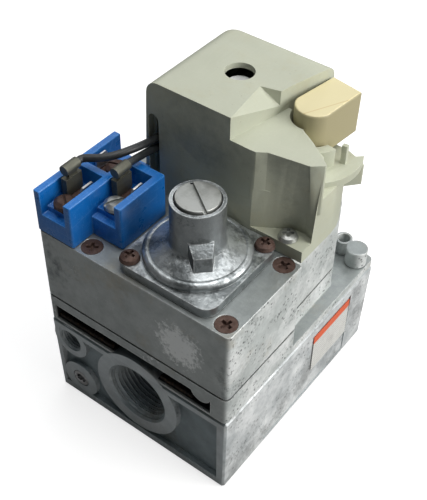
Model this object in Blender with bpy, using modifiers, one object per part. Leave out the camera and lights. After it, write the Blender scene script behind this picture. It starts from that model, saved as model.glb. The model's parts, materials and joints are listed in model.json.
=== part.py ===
"""Combination gas control valve for a furnace, as separate pieces.

A die-cast base with the pipe ports, a middle casting and an upper body are stacked on two
gaskets. On top stand the pressure regulator, the blue terminal block and the operator cover
with its push-and-turn knob. Inside are the main diaphragm valve, the gas cock, the safety
valve with its magnet, and the solenoid that drives the main valve.

Sizes below are millimetres. X runs along the port face, Y from that face to the back, Z up.
"""
import math

import bmesh
import bpy
from mathutils import Matrix, Vector

MM = 0.001
MERGE = 0.00001
GAP = 0.25

# Castings
WIDTH = 85.0
DEPTH = 102.5
HALF_W = WIDTH / 2
HALF_D = DEPTH / 2
BASE_TOP = 41.3
BASE_DRAFT = 0.7
LOWER_GASKET = (BASE_TOP + GAP, BASE_TOP + 3 * GAP)
MID_BOTTOM = BASE_TOP + 4 * GAP
DECK_TOP = 45.8
MID_TOP = 55.0
UPPER_GASKET = (MID_TOP + GAP, MID_TOP + 3 * GAP)
BODY_BOTTOM = MID_TOP + 4 * GAP
BODY_TOP = 88.5

# Ports
PORT_Z = 26.0
PORT_RADIUS = 13.4
BOSS_RADIUS = 19.8
PILOT_PORT = (-33.9, 33.0)
PLUG_PORT = (-31.0, 11.1)

# Vertical axes inside the valve
MAIN_VALVE = (0.0, -17.0)
REGULATOR = (12.4, -28.9)
SOLENOID = (-3.8, 15.5)
KNOB = (24.8, 19.9)
BODY_SCREWS = ((-21.2, -46.1), (37.5, -46.2), (37.1, -12.1), (-38.0, 30.0), (26.5, 33.6))
REGULATOR_SCREWS = ((-4.0, -45.6), (28.8, -12.2))
COVER_SCREW = (33.4, -4.8)
INLET_TAP = (29.6, 47.4)
OUTLET_TAP = (37.5, 44.4)
PILOT_FITTING = (24.3, 48.4)
TRANSFER_HOLE = (15.5, 1.5)

# Operator cover
COVER_BOTTOM = BODY_TOP + 0.3
LOWER_TOP = 111.2
LEDGE_TOP = 113.6
RIM_TOP = 120.8
SHELF_TOP = 127.4
COVER_TOP = 136.4
WALL = 2.2
LUG_TOP = 94.0
KNOB_TOP = 132.7
KNOB_BOTTOM = 115.9
NOSE_RADIUS = 7.2
POCKET_RADIUS = 8.3

# Terminal block
BLOCK_BOTTOM = BODY_TOP + 0.3
BLOCK_TOP = 107.1
SILL_TOP = 97.0
# For each bay: the strip's low and high corner, its blades' centres and its screw
BAYS = (
    ((-37.6, -48.2), (-29.2, -34.0), ((-36.8, -37.6), (-29.6, -37.6)), (-33.6, -45.0)),
    ((-23.5, -37.9), (-15.1, -23.7), ((-22.7, -27.3), (-15.5, -27.3)), (-19.5, -34.8)),
    ((-38.3, -26.0), (-28.6, -14.5), ((-37.5, -21.5),), (-32.4, -19.4)),
)
LEAD_DIAMETER = 2.9

LEAD_ROUTES = (
    ((-36.8, -33.9, 111.4), (-36.4, -32.0, 111.5), (-34.4, -30.4, 111.7), (-31.2, -28.0, 111.9),
     (-28.0, -24.4, 112.3), (-25.6, -19.6, 112.7), (-24.0, -13.8, 112.5), (-23.3, -7.8, 112.0),
     (-22.8, -2.6, 111.8), (-21.4, 2.2, 111.5), (-18.8, 6.4, 111.2), (-17.0, 8.7, 111.0)),
    ((-22.7, -23.6, 110.8), (-22.6, -20.6, 110.6), (-22.7, -17.0, 110.0), (-22.9, -12.8, 109.2),
     (-23.1, -8.2, 108.0), (-23.0, -3.4, 106.8), (-22.2, 1.4, 105.9), (-20.6, 5.8, 105.3),
     (-18.5, 9.4, 105.0), (-17.2, 11.3, 105.0)),
)

PARTS = None
CUTTERS = None


def collection(name):
    made = bpy.data.collections.new(name)
    bpy.context.scene.collection.children.link(made)
    return made


def paint(name, colour, roughness, metallic=0.0):
    made = bpy.data.materials.new(name)
    made.use_nodes = True
    shader = made.node_tree.nodes["Principled BSDF"]
    shader.inputs["Base Color"].default_value = (*colour, 1.0)
    shader.inputs["Roughness"].default_value = roughness
    shader.inputs["Metallic"].default_value = metallic
    return made


def place(name, mesh, at, material):
    """Adds an object; a piece with no material is a cutter and stays out of the build."""
    piece = bpy.data.objects.new(name, mesh)
    piece.location = Vector(at) * MM
    if material is None:
        CUTTERS.objects.link(piece)
        piece.hide_render = True
        piece.display_type = 'WIRE'
    else:
        PARTS.objects.link(piece)
        mesh.materials.append(material)
    return piece


def place_bmesh(name, bm, at, material):
    bmesh.ops.scale(bm, vec=(MM, MM, MM), verts=bm.verts)
    mesh = bpy.data.meshes.new(name)
    bm.to_mesh(mesh)
    bm.free()
    return place(name, mesh, at, material)


def block(name, low, high, material=None):
    size = [b - a for a, b in zip(low, high)]
    centre = [(a + b) / 2 for a, b in zip(low, high)]
    bm = bmesh.new()
    bmesh.ops.create_cube(bm, size=1.0)
    bmesh.ops.scale(bm, vec=size, verts=bm.verts)
    return place_bmesh(name, bm, centre, material)


def cone(name, at, low, high, radius_low, radius_high, material=None, axis='Z', segments=32):
    """A round bar or cone along an axis, from low to high on it; at holds the other two."""
    bm = bmesh.new()
    bmesh.ops.create_cone(bm, cap_ends=True, segments=segments, radius1=radius_low,
                          radius2=radius_high, depth=high - low)
    middle = (low + high) / 2
    if axis == 'Z':
        centre = (at[0], at[1], middle)
    elif axis == 'Y':
        bmesh.ops.rotate(bm, matrix=Matrix.Rotation(-math.pi / 2, 3, 'X'), verts=bm.verts)
        centre = (at[0], middle, at[1])
    piece = place_bmesh(name, bm, centre, material)
    piece.data.shade_smooth()
    piece.data.set_sharp_from_angle(angle=math.radians(35))
    return piece


def bar(name, at, low, high, radius, material=None, axis='Z', segments=32):
    return cone(name, at, low, high, radius, radius, material, axis, segments)


def lathe(name, at, profile, material=None, steps=32):
    """A turned piece: the profile (radius, height) runs down its outer side and is closed
    on the axis or back to its first point."""
    closed = profile[0][0] > 0.0
    vertices = [(r * MM, 0.0, z * MM) for r, z in profile]
    edges = [(i, i + 1) for i in range(len(profile) - 1)]
    if closed:
        edges.append((len(profile) - 1, 0))
    mesh = bpy.data.meshes.new(name)
    mesh.from_pydata(vertices, edges, [])
    piece = place(name, mesh, (at[0], at[1], 0.0), material)
    screw = piece.modifiers.new("turn", 'SCREW')
    screw.axis = 'Z'
    screw.steps = steps
    screw.render_steps = steps
    screw.use_merge_vertices = True
    screw.merge_threshold = MERGE
    screw.use_smooth_shade = False
    return piece


def rounded(corners, steps=4):
    """Outline points, with an arc at each corner (x, y, radius) that has a radius."""
    points = []
    count = len(corners)
    for index, corner in enumerate(corners):
        here = Vector(corner[:2])
        radius = corner[2] if len(corner) > 2 else 0.0
        if radius == 0.0:
            points.append(here)
            continue
        before = (Vector(corners[index - 1][:2]) - here).normalized()
        after = (Vector(corners[(index + 1) % count][:2]) - here).normalized()
        half = math.acos(max(-1.0, min(1.0, before.dot(after)))) / 2
        centre = here + (before + after).normalized() * (radius / math.sin(half))
        start = here + before * (radius / math.tan(half)) - centre
        turn = start.angle_signed(here + after * (radius / math.tan(half)) - centre)
        for step in range(steps + 1):
            spin = Matrix.Rotation(-turn * step / steps, 2)
            points.append(centre + spin @ start)
    return points


def plate(name, corners, low, high, material=None, at=(0.0, 0.0), steps=4):
    """A flat outline of (x, y, radius) corners, thickened from low to high."""
    curve = bpy.data.curves.new(name, 'CURVE')
    curve.dimensions = '2D'
    curve.fill_mode = 'BOTH'
    curve.extrude = (high - low) / 2 * MM
    points = rounded(corners, steps)
    spline = curve.splines.new('POLY')
    spline.points.add(len(points) - 1)
    for target, point in zip(spline.points, points):
        target.co = ((point.x - at[0]) * MM, (point.y - at[1]) * MM, 0.0, 1.0)
    spline.use_cyclic_u = True
    guide = bpy.data.objects.new(name + "_outline", curve)
    bpy.context.scene.collection.objects.link(guide)
    graph = bpy.context.evaluated_depsgraph_get()
    mesh = bpy.data.meshes.new_from_object(guide.evaluated_get(graph))
    bpy.data.objects.remove(guide)
    bm = bmesh.new()
    bm.from_mesh(mesh)
    bmesh.ops.remove_doubles(bm, verts=bm.verts, dist=MERGE)
    bm.to_mesh(mesh)
    bm.free()
    mesh.name = name
    return place(name, mesh, (at[0], at[1], (low + high) / 2), material)


def tube(name, points, radius, material, resolution=2):
    """A wire or coil through points."""
    curve = bpy.data.curves.new(name, 'CURVE')
    curve.dimensions = '3D'
    curve.bevel_depth = radius * MM
    curve.bevel_resolution = resolution
    curve.use_fill_caps = True
    spline = curve.splines.new('POLY')
    spline.points.add(len(points) - 1)
    for target, point in zip(spline.points, points):
        target.co = (point[0] * MM, point[1] * MM, point[2] * MM, 1.0)
    piece = bpy.data.objects.new(name, curve)
    curve.materials.append(material)
    PARTS.objects.link(piece)
    return piece


def coil(name, at, low, high, radius, wire, turns, material):
    """A compression spring: a helix that climbs from low to high."""
    per_turn = 12
    count = turns * per_turn
    points = []
    for index in range(count + 1):
        angle = 2 * math.pi * index / per_turn
        height = low + wire + (high - low - 2 * wire) * index / count
        points.append((at[0] + radius * math.cos(angle), at[1] + radius * math.sin(angle), height))
    return tube(name, points, wire, material, resolution=1)


def smooth_route(route, spacing=3.0):
    """Points about every spacing along a Catmull-Rom curve through the route's points."""
    knots = [Vector(point) for point in route]
    ends = [2 * knots[0] - knots[1]] + knots + [2 * knots[-1] - knots[-2]]
    points = []
    for index in range(1, len(ends) - 2):
        a, b, c, d = ends[index - 1:index + 3]
        pieces = max(1, round((c - b).length / spacing))
        for step in range(pieces):
            t = step / pieces
            points.append(0.5 * (2 * b + (c - a) * t + (2 * a - 5 * b + 4 * c - d) * t ** 2
                                 + (3 * b - a - 3 * c + d) * t ** 3))
    points.append(knots[-1])
    return points


def combine(piece, other, operation='DIFFERENCE'):
    change = piece.modifiers.new(operation.lower(), 'BOOLEAN')
    change.operation = operation
    change.object = other
    change.solver = 'EXACT'
    return piece


def cut(piece, *others):
    for other in others:
        combine(piece, other)
    return piece


def join(piece, *others):
    for other in others:
        combine(piece, other, 'UNION')
    return piece


def holes(prefix, spots, low, high, radius, segments=16):
    return [bar(f"{prefix}_{i}", spot, low, high, radius, segments=segments)
            for i, spot in enumerate(spots, 1)]


# Castings and gaskets

def body_outline(inset=0.0):
    """Plan of the middle and upper castings: full width in front, set back at the right rear."""
    x = HALF_W - inset
    y = HALF_D - inset
    return ((-x, -y, 2.0), (x, -y, 2.0), (x, -8.6 - inset, 0.8), (37.5 - inset, -8.6 - inset),
            (36.6 - inset, 27.0 - inset, 4.0), (29.0 - inset, 39.0 - inset, 4.0),
            (-x, 39.0 - inset, 3.0))


def base_casting(metal):
    bm = bmesh.new()
    bmesh.ops.create_cube(bm, size=1.0)
    bmesh.ops.scale(bm, vec=(WIDTH, DEPTH, BASE_TOP), verts=bm.verts)
    foot = [vertex for vertex in bm.verts if vertex.co.z < 0]
    narrower = (1 - 2 * BASE_DRAFT / WIDTH, 1 - 2 * BASE_DRAFT / DEPTH, 1)
    bmesh.ops.scale(bm, vec=narrower, verts=foot)
    base = place_bmesh("base_casting", bm, (0, 0, BASE_TOP / 2), metal)
    edges = base.modifiers.new("edges", 'BEVEL')
    edges.width = 0.8 * MM
    edges.segments = 1
    cut(base, block("port_face_recess", (-39.4, -60, 4.3), (38.4, -48.6, 37.9)))
    join(base, bar("port_boss", (0, PORT_Z), -HALF_D + 0.05, -38, BOSS_RADIUS, axis='Y', segments=64),
         bar("pilot_boss", PILOT_PORT, -50.9, -47, 8.4, axis='Y'),
         bar("plug_boss", PLUG_PORT, -50.6, -47, 8.6, axis='Y'))
    cut(base,
        bar("outlet_bore", (0, PORT_Z), -60, -30, PORT_RADIUS, axis='Y', segments=48),
        cone("outlet_mouth", (0, PORT_Z), -51.6, -50.0, 14.6, 13.0, axis='Y', segments=48),
        block("outlet_chamber", (-15, -36, 8), (15, -4, 36)),
        bar("main_seat_bore", MAIN_VALVE, 34, 50, 9.0),
        bar("inlet_bore", (0, PORT_Z), 20, 60, PORT_RADIUS, axis='Y', segments=48),
        block("inlet_chamber", (-14, 6, 8), (34, 27, 50)),
        bar("pilot_bore", PILOT_PORT, -60, -41, 5.4, axis='Y', segments=24),
        bar("plug_bore", PLUG_PORT, -60, -43, 4.1, axis='Y', segments=24),
        block("label_panel", (41.55, -24.3, 2.0), (50, 35.6, 36.5)))
    return cut(base, *holes("base_screw_hole", BODY_SCREWS, 24, 50, 2.2))


def base_gasket(fibre):
    x = HALF_W - 0.4
    y = HALF_D - 0.4
    sheet = plate("base_gasket", ((-x, -y, 2.0), (x, -y, 2.0), (x, y, 2.0), (-x, y, 2.0)),
                  *LOWER_GASKET, fibre)
    cut(sheet, bar("gasket_main_hole", MAIN_VALVE, 40, 44, 17.0),
        block("gasket_inlet_hole", (-14, 6, 40), (34, 27, 44)),
        block("gasket_boss_notch", (-13.2, -60, 40), (13.2, -37.6, 44)))
    return cut(sheet, *holes("base_gasket_hole", BODY_SCREWS, 40, 44, 2.4))


def mid_casting(metal):
    casting = plate("mid_casting", body_outline(), MID_BOTTOM, MID_TOP, metal)
    x, y = HALF_W, HALF_D
    deck = plate("deck", ((-x, -y, 2.0), (x, -y, 2.0), (x, y, 2.5), (-x, y, 2.5)),
                 MID_BOTTOM, DECK_TOP)
    slot = block("front_slot", (-39.7, -60, 43.2), (35.4, -41, 50.6))
    cut(slot, bar("slot_droop", (31.0, 51.6), -61, -40, 4.4, axis='Y', segments=24))
    join(casting, deck)
    cut(casting, slot,
        bar("boss_clearance", (0, PORT_Z), -60, -37.6, BOSS_RADIUS + 0.4, axis='Y', segments=64),
        bar("diaphragm_chamber", MAIN_VALVE, 40, 60, 17.0),
        bar("safety_seat", KNOB, 40, 50, 4.6),
        bar("cock_inlet", KNOB, 46, 60, 6.5),
        block("transfer_pocket", (9, -9, 45), (19.5, 5.5, 51)),
        bar("transfer_hole_mid", TRANSFER_HOLE, 50, 60, 4.0, segments=16))
    cut(casting, *holes("mid_screw_hole", BODY_SCREWS, 40, 60, 2.4))
    return cut(casting, *holes("tap_hole", (INLET_TAP, OUTLET_TAP), 43.6, 50, 2.0),
               bar("pilot_hole", PILOT_FITTING, 43.6, 50, 1.5, segments=12))


def upper_gasket(fibre):
    sheet = plate("upper_gasket", body_outline(0.4), *UPPER_GASKET, fibre)
    cut(sheet, bar("diaphragm_opening", MAIN_VALVE, 54, 57, 18.9),
        bar("transfer_opening", TRANSFER_HOLE, 54, 57, 4.4, segments=16),
        bar("cock_opening", KNOB, 54, 57, 6.5))
    return cut(sheet, *holes("upper_gasket_hole", BODY_SCREWS, 54, 57, 2.4))


def upper_body(metal):
    body = plate("upper_body", body_outline(), BODY_BOTTOM, BODY_TOP, metal)
    edges = body.modifiers.new("edges", 'BEVEL')
    edges.width = 0.6 * MM
    edges.segments = 1
    edges.limit_method = 'ANGLE'
    edges.angle_limit = math.radians(50)
    cut(body,
        bar("spring_chamber", MAIN_VALVE, 50, 70, 16.8),
        bar("regulator_chamber", REGULATOR, 80, 95, 13.0),
        bar("sense_passage", (8, -24), 65, 85, 1.5, segments=12),
        cone("cock_bore", KNOB, 50, 95, 5.9, 7.1),
        block("cock_outlet", (12.5, 16.9, 60), (KNOB[0], 23.9, 66)),
        block("cock_channel", (12.5, -1.5, 60), (18.5, 22, 66)),
        bar("transfer_hole_upper", TRANSFER_HOLE, 50, 62, 4.0, segments=16),
        bar("solenoid_bore", SOLENOID, 74, 95, 5.6, segments=24),
        bar("servo_drop", SOLENOID, 63, 75, 1.3, segments=12),
        block("servo_channel", (-5.1, -2, 63), (-2.5, 15.5, 66)))
    countersink = ((4.3, 90.0), (4.3, 88.6), (2.2, 86.2), (2.2, 50.0), (0.0, 50.0))
    for index, spot in enumerate(BODY_SCREWS, 1):
        cut(body, lathe(f"countersink_{index}", spot, ((0.0, 90.0),) + countersink, steps=20))
    threads = REGULATOR_SCREWS + (COVER_SCREW,)
    return cut(body, *holes("thread_hole", threads, 80, 95, 1.9, segments=12))


# Main valve

def main_valve(steel, rubber, fabric):
    lathe("main_valve_poppet", MAIN_VALVE,
          ((0.0, 61.0), (1.9, 61.0), (1.9, 44.2), (11.0, 44.2), (11.0, 42.7), (0.0, 42.7)), steel)
    lathe("main_valve_seal", MAIN_VALVE, ((0.0, 42.4), (11.0, 42.4), (11.0, 41.6), (0.0, 41.6)),
          rubber)
    lathe("main_diaphragm", MAIN_VALVE,
          ((18.6, 55.75), (18.6, 55.25), (2.3, 55.25), (2.3, 55.75)), fabric)
    lathe("diaphragm_plate", MAIN_VALVE,
          ((11.0, 57.2), (11.0, 56.1), (2.2, 56.1), (2.2, 57.2)), steel)
    coil("main_valve_spring", MAIN_VALVE, 57.5, 69.6, 6.0, 0.6, 4, steel)


# Regulator

def regulator_housing(metal):
    cx, cy = REGULATOR
    half = 20.4
    foot = plate("regulator_foot", tuple((cx + sx * half, cy + sy * half, 5.0)
                                         for sx, sy in ((-1, -1), (1, -1), (1, 1), (-1, 1))),
                 88.8, 92.6)
    housing = lathe("regulator_housing", REGULATOR,
                    ((9.6, 117.2), (9.6, 100.4), (10.2, 98.8), (11.6, 98.0), (16.4, 95.9),
                     (18.6, 94.4), (19.1, 92.0), (15.2, 89.4), (13.0, 89.4), (13.0, 91.2), (7.3, 99.0),
                     (7.3, 115.4), (8.3, 115.4), (8.3, 117.2)), metal, steps=48)
    tooth = plate("stop_tooth", ((7.8, -4.6), (14.0, -3.2), (14.0, 3.2), (7.8, 4.6)), 94.0, 105.6)
    tooth.location = Vector((cx, cy, 99.8)) * MM
    tooth.rotation_euler = (0, 0, -math.pi / 4)
    slope = block("tooth_slope", (-10, -10, 0), (10, 10, 10))
    slope.location = (Vector((cx, cy, 0)) + Vector((11.8 + 5, -11.8 - 5, 0)) * 0.7071
                      + Vector((0, 0, 107.2))) * MM
    slope.rotation_euler = (Matrix.Rotation(-math.pi / 4, 3, 'Z')
                            @ Matrix.Rotation(math.radians(31), 3, 'Y')).to_euler()
    cut(tooth, slope)
    cut(foot, bar("foot_opening", REGULATOR, 88, 94, 16.4, segments=48))
    join(housing, foot, tooth)
    return cut(housing, *holes("ear_hole", REGULATOR_SCREWS, 88, 94, 2.0, segments=12))


def regulator_inside(fabric, steel, plastic, rubber, metal):
    lathe("regulator_diaphragm", REGULATOR, ((0.0, 89.2), (14.9, 89.2), (14.9, 88.8), (0.0, 88.8)),
          fabric)
    lathe("regulator_plate", REGULATOR, ((0.0, 90.5), (8.0, 90.5), (8.0, 89.5), (0.0, 89.5)), steel)
    coil("regulator_spring", REGULATOR, 90.8, 101.7, 4.2, 0.5, 4, steel)
    lathe("spring_button", REGULATOR, ((0.0, 103.4), (5.8, 103.4), (5.8, 102.0), (0.0, 102.0)), steel)
    screw = lathe("adjusting_screw", REGULATOR,
                  ((0.0, 108.4), (6.8, 108.4), (6.8, 103.7), (0.0, 103.7)), plastic, steps=24)
    cut(screw, block("adjusting_slot", (REGULATOR[0] - 5, REGULATOR[1] - 0.7, 106.9),
                     (REGULATOR[0] + 5, REGULATOR[1] + 0.7, 112)))
    lathe("cap_seal", REGULATOR, ((8.1, 116.0), (8.1, 115.7), (7.2, 115.7), (7.2, 116.0)), rubber)
    cap = lathe("regulator_cap", REGULATOR,
                ((0.0, 118.2), (7.6, 118.2), (7.8, 118.0), (7.8, 116.3), (6.9, 116.3), (6.9, 111.2),
                 (0.0, 111.2)), metal, steps=48)
    slot = block("cap_slot", (-12, -0.55, 0), (12, 0.55, 4))
    slot.location = Vector((*REGULATOR, 119.0)) * MM
    slot.rotation_euler = (0, 0, math.radians(-35))
    return cut(cap, slot)


# Screws

def cross_recess(name, spot, top, depth, reach):
    """Two crossed blocks that cut a Phillips recess."""
    first = block(name + "_a", (-reach, -0.6, 0), (reach, 0.6, depth + 2))
    second = block(name + "_b", (-0.6, -reach, 0), (0.6, reach, depth + 2))
    for arm in (first, second):
        arm.location = Vector((*spot, top - depth + (depth + 2) / 2)) * MM
        arm.rotation_euler = (0, 0, math.radians(20 + 37 * (spot[0] % 3)))
    return first, second


def flat_screw(name, spot, steel):
    screw = lathe(name, spot, ((0.0, 88.5), (4.1, 88.5), (1.9, 86.1), (1.9, 26.0), (0.0, 26.0)),
                  steel, steps=20)
    return cut(screw, *cross_recess(name + "_recess", spot, 88.5, 1.6, 2.2))


def pan_screw(name, spot, seat, shank_end, steel):
    screw = lathe(name, spot,
                  ((0.0, seat + 2.5), (2.0, seat + 2.35), (3.2, seat + 1.7), (3.7, seat + 0.3),
                   (1.6, seat + 0.3), (1.6, shank_end), (0.0, shank_end)), steel, steps=20)
    return cut(screw, *cross_recess(name + "_recess", spot, seat + 2.5, 1.5, 2.1))


# Electrical

def terminal_block(blue):
    outline = ((-42.3, -51.2, 0.6), (-25.2, -51.2, 0.8), (-25.2, -41.0), (-11.4, -41.0, 0.8),
               (-11.4, -17.0, 0.6), (-25.2, -17.0), (-25.2, -8.8), (-42.3, -8.8, 0.4))
    housing = plate("terminal_block", outline, BLOCK_BOTTOM, BLOCK_TOP, blue)
    insides = (((-39.4, -48.4), (-28.2, -31.2)), ((-25.2, -38.4), (-14.4, -20.4)),
               ((-39.4, -28.4), (-28.2, -5.0)))
    windows = (((-39.4, -60, SILL_TOP), (-28.2, -48.0, 120)),
               ((-25.2, -60, SILL_TOP), (-14.4, -38.0, 120)),
               ((-28.6, -17.0, 99.2), (-20.0, -5.0, 120)))
    for index in range(3):
        low, high = insides[index]
        cut(housing, block(f"bay_{index + 1}", (*low, 99.2), (*high, 120)),
            block(f"window_{index + 1}", *windows[index]),
            bar(f"terminal_thread_{index + 1}", BAYS[index][3], 91.5, 100, 2.1, segments=12))
    return housing


def terminal_plate(index, tinned):
    """A terminal strip with a hole for its screw and upright 6.3 mm blades behind it."""
    low, high, blades, spot = BAYS[index]
    strip = plate(f"terminal_plate_{index + 1}",
                  ((low[0], low[1] + 1.5), (low[0] + 1.5, low[1]), (high[0] - 1.5, low[1]),
                   (high[0], low[1] + 1.5), high, (low[0], high[1])), 99.5, 100.3, tinned)
    for side, centre in enumerate(blades):
        blade = plate(f"blade_{index + 1}_{side}",
                      ((-3.15, 0.0), (3.15, 0.0), (3.15, 5.6), (2.3, 6.8), (-2.3, 6.8), (-3.15, 5.6)),
                      -0.4, 0.4)
        blade.rotation_euler = (math.pi / 2, 0, math.pi / 2)
        blade.location = Vector((*centre, 100.0)) * MM
        join(strip, blade)
    return cut(strip, bar(f"terminal_hole_{index + 1}", spot, 99, 101, 2.3, segments=16))


def terminal_screw(index, steel):
    spot = BAYS[index][3]
    screw = lathe(f"terminal_screw_{index + 1}", spot,
                  ((0.0, 103.2), (2.6, 103.0), (4.0, 102.0), (4.0, 100.6), (1.8, 100.6), (1.8, 92.5),
                   (0.0, 92.5)), steel, steps=24)
    slot = block(f"terminal_slot_{index + 1}", (-6, -0.5, 0), (6, 0.5, 3))
    slot.location = Vector((*spot, 103.4)) * MM
    slot.rotation_euler = (0, 0, math.radians((-38, 62, 15)[index]))
    return cut(screw, slot)


def spade(index, tin):
    """A female connector on the left blade of a bay, with its crimp barrel across the top."""
    x, y = BAYS[index][2][0]
    body = block(f"spade_{index + 1}", (x - 1.3, y - 3.9, 100.7), (x + 1.3, y + 3.9, 107.9), tin)
    neck = block(f"spade_neck_{index + 1}", (x - 0.8, y - 1.8, 107.0), (x + 0.8, y + 2.2, 110.4))
    height = LEAD_ROUTES[index][0][2]
    barrel = bar(f"spade_barrel_{index + 1}", (x, height), y - 3.4, y + 3.4, 2.0, axis='Y', segments=16)
    join(body, neck, barrel)
    return cut(body, block(f"spade_slot_{index + 1}", (x - 0.7, y - 3.5, 100), (x + 0.7, y + 3.5, 107.2)))


def lead(index, rubber):
    return tube(f"lead_{index + 1}", smooth_route(LEAD_ROUTES[index]), LEAD_DIAMETER / 2, rubber)


# Solenoid

def solenoid(steel, plastic, copper, zinc):
    lathe("core_tube", SOLENOID, ((4.95, 119.0), (4.95, 90.6), (8.0, 90.6), (8.0, 88.8), (5.2, 88.8),
                                  (5.2, 80.0), (4.4, 80.0), (4.4, 119.0)), zinc, steps=24)
    lathe("plunger", SOLENOID, ((0.0, 100.0), (4.1, 100.0), (4.1, 80.0), (2.4, 80.0), (2.4, 77.4),
                                (0.0, 77.4)), steel, steps=24)
    coil("plunger_spring", SOLENOID, 100.3, 107.7, 2.6, 0.4, 4, steel)
    lathe("core_stop", SOLENOID, ((0.0, 131.5), (4.8, 131.5), (4.8, 124.6), (4.1, 124.6), (4.1, 108.0),
                                  (0.0, 108.0)), steel, steps=32)
    lathe("coil_bobbin", SOLENOID,
          ((13.0, 121.2), (13.0, 119.8), (6.6, 119.8), (6.6, 95.6), (13.0, 95.6), (13.0, 94.2),
           (5.3, 94.2), (5.3, 121.2)), plastic)
    lathe("coil_winding", SOLENOID, ((12.4, 119.5), (12.4, 95.9), (6.9, 95.9), (6.9, 119.5)), copper)
    cx, cy = SOLENOID
    frame = block("coil_frame", (cx - 11, cy - 11, 91.0), (cx + 11, cy + 17.0, 93.8), zinc)
    join(frame, block("frame_back", (cx - 11, cy + 14.4, 92.0), (cx + 11, cy + 17.0, 124.2)),
         block("frame_top", (cx - 11, cy - 11, 121.6), (cx + 11, cy + 16.0, 124.2)))
    return cut(frame, bar("frame_hole", SOLENOID, 88, 130, 5.3, segments=24))


# Operator cover

def arc(centre, radius, start, end, steps):
    """Points on a circle from one angle to another, in degrees."""
    points = []
    for step in range(steps + 1):
        angle = math.radians(start + (end - start) * step / steps)
        points.append((centre[0] + radius * math.cos(angle), centre[1] + radius * math.sin(angle)))
    return tuple(points)


def loft(name, rings, at=(0.0, 0.0, 0.0), material=None):
    """A solid through rings of matching (x, y, z) points."""
    bm = bmesh.new()
    made = [[bm.verts.new(point) for point in ring] for ring in rings]
    bm.faces.new(made[0])
    bm.faces.new(made[-1])
    for upper, lower in zip(made, made[1:]):
        for index in range(len(upper)):
            following = (index + 1) % len(upper)
            bm.faces.new((upper[index], upper[following], lower[following], lower[index]))
    bmesh.ops.recalc_face_normals(bm, faces=bm.faces)
    bmesh.ops.triangulate(bm, faces=bm.faces)
    return place_bmesh(name, bm, at, material)


def tall_block(name, bottom, inset, top_radius, corner_radius, material=None):
    """The tall part's block: its left and rear sides round over into the top."""
    top = COVER_TOP - inset
    heights = [(bottom, 0.0)]
    for step in range(6):
        angle = math.radians(90 * step / 5)
        heights.append((top - top_radius * (1 - math.sin(angle)), top_radius * (1 - math.cos(angle))))
    rings = []
    for height, pulled in heights:
        lean = 2.0 * (height - COVER_BOTTOM) / (COVER_TOP - COVER_BOTTOM)
        left = -28.2 + lean + inset + pulled
        rear = 40.3 - inset - pulled
        ring = rounded(((left, -8.3 + inset), (22.0, -8.3 + inset), (22.0, rear),
                        (left, rear, corner_radius - pulled)))
        rings.append([(point.x, point.y, height) for point in ring])
    return loft(name, rings, material=material)


def step_cutter(name, shift, low):
    """Everything right of the tall part's side, which runs from the front to the rear."""
    side = ((9.8, -8.2), (15.1, 18.8), (17.2, 27.2), (19.6, 36.0), (20.6, 60.0))
    return plate(name, ((9.8 - 2.4 - shift, -20.0),) + tuple((x - shift, y) for x, y in side)
                 + ((70.0, 60.0), (70.0, -20.0)), low, 150)


def cover_blocks(shell):
    """The tall part, the lower part, the shelf, the rim, ledge and stop post round the knob."""
    tall = tall_block("cover", COVER_BOTTOM, 0.0, 5.0, 6.2, shell)
    cut(tall, step_cutter("tall_side", 0.0, LOWER_TOP - 0.5))
    lower = plate("lower_part", ((-20, -8.2), (41.5, -8.2), (41.5, 33.0, 22.0),
                                 (15.0, 33.0), (15.0, 40.0), (-20, 40.0)), COVER_BOTTOM + 0.1, LOWER_TOP,
                  steps=8)
    shelf = plate("shelf", ((0, -8.2), (18.1, -8.4), (20.3, -8.2), (23.5, -6.0), (34.8, -4.0),
                            (38.3, -3.5), (42.2, -0.3), (42.4, 0.3), (39.3, 2.8), (32.3, 7.7),
                            (25.9, 11.4), (24.0, 18.0), (15.3, 19.0), (5, 19.0)), 106.0, SHELF_TOP)
    ledge = bar("ledge", KNOB, 110.6, LEDGE_TOP, 18.9, segments=64)
    cut(ledge, plate("ledge_trim", ((35.2, 27.7), (39.6, 26.1), (42.2, 28.6), (60, 40), (60, 60), (0, 60),
                                    (0, 27.7)), 100, 120))
    rim = plate("rim", arc(KNOB, 11.7, -14, -44, 6) + ((35.3, 10.8), (42.3, 0.4), (38.0, 0.0), (20, 4.0),
                                                     (16.0, 18.0), (24.0, 18.0)), LOWER_TOP - 1, RIM_TOP)
    post = plate("stop_post", ((37.1, 19.4), (39.0, 19.8), (38.9, 21.3), (37.0, 21.0)), 112.6, 121.3)
    fin = plate("fin", ((37.6, 21.9), (38.8, 20.8), (43.3, 26.0), (42.2, 26.9)), 103.0, 111.6)
    join(tall, lower, shelf, ledge, rim, post, fin)
    return tall


def ramp(name, corners, drop):
    """Everything over the sloping facet, which is lowered by drop for the inside."""
    low = [(x, y, COVER_TOP - drop - 0.774 * (x - 9.8) - 0.112 * (y + 8.2)) for x, y in corners]
    return loft(name, (low, [(x, y, 150.0) for x, y in corners]))


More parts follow.
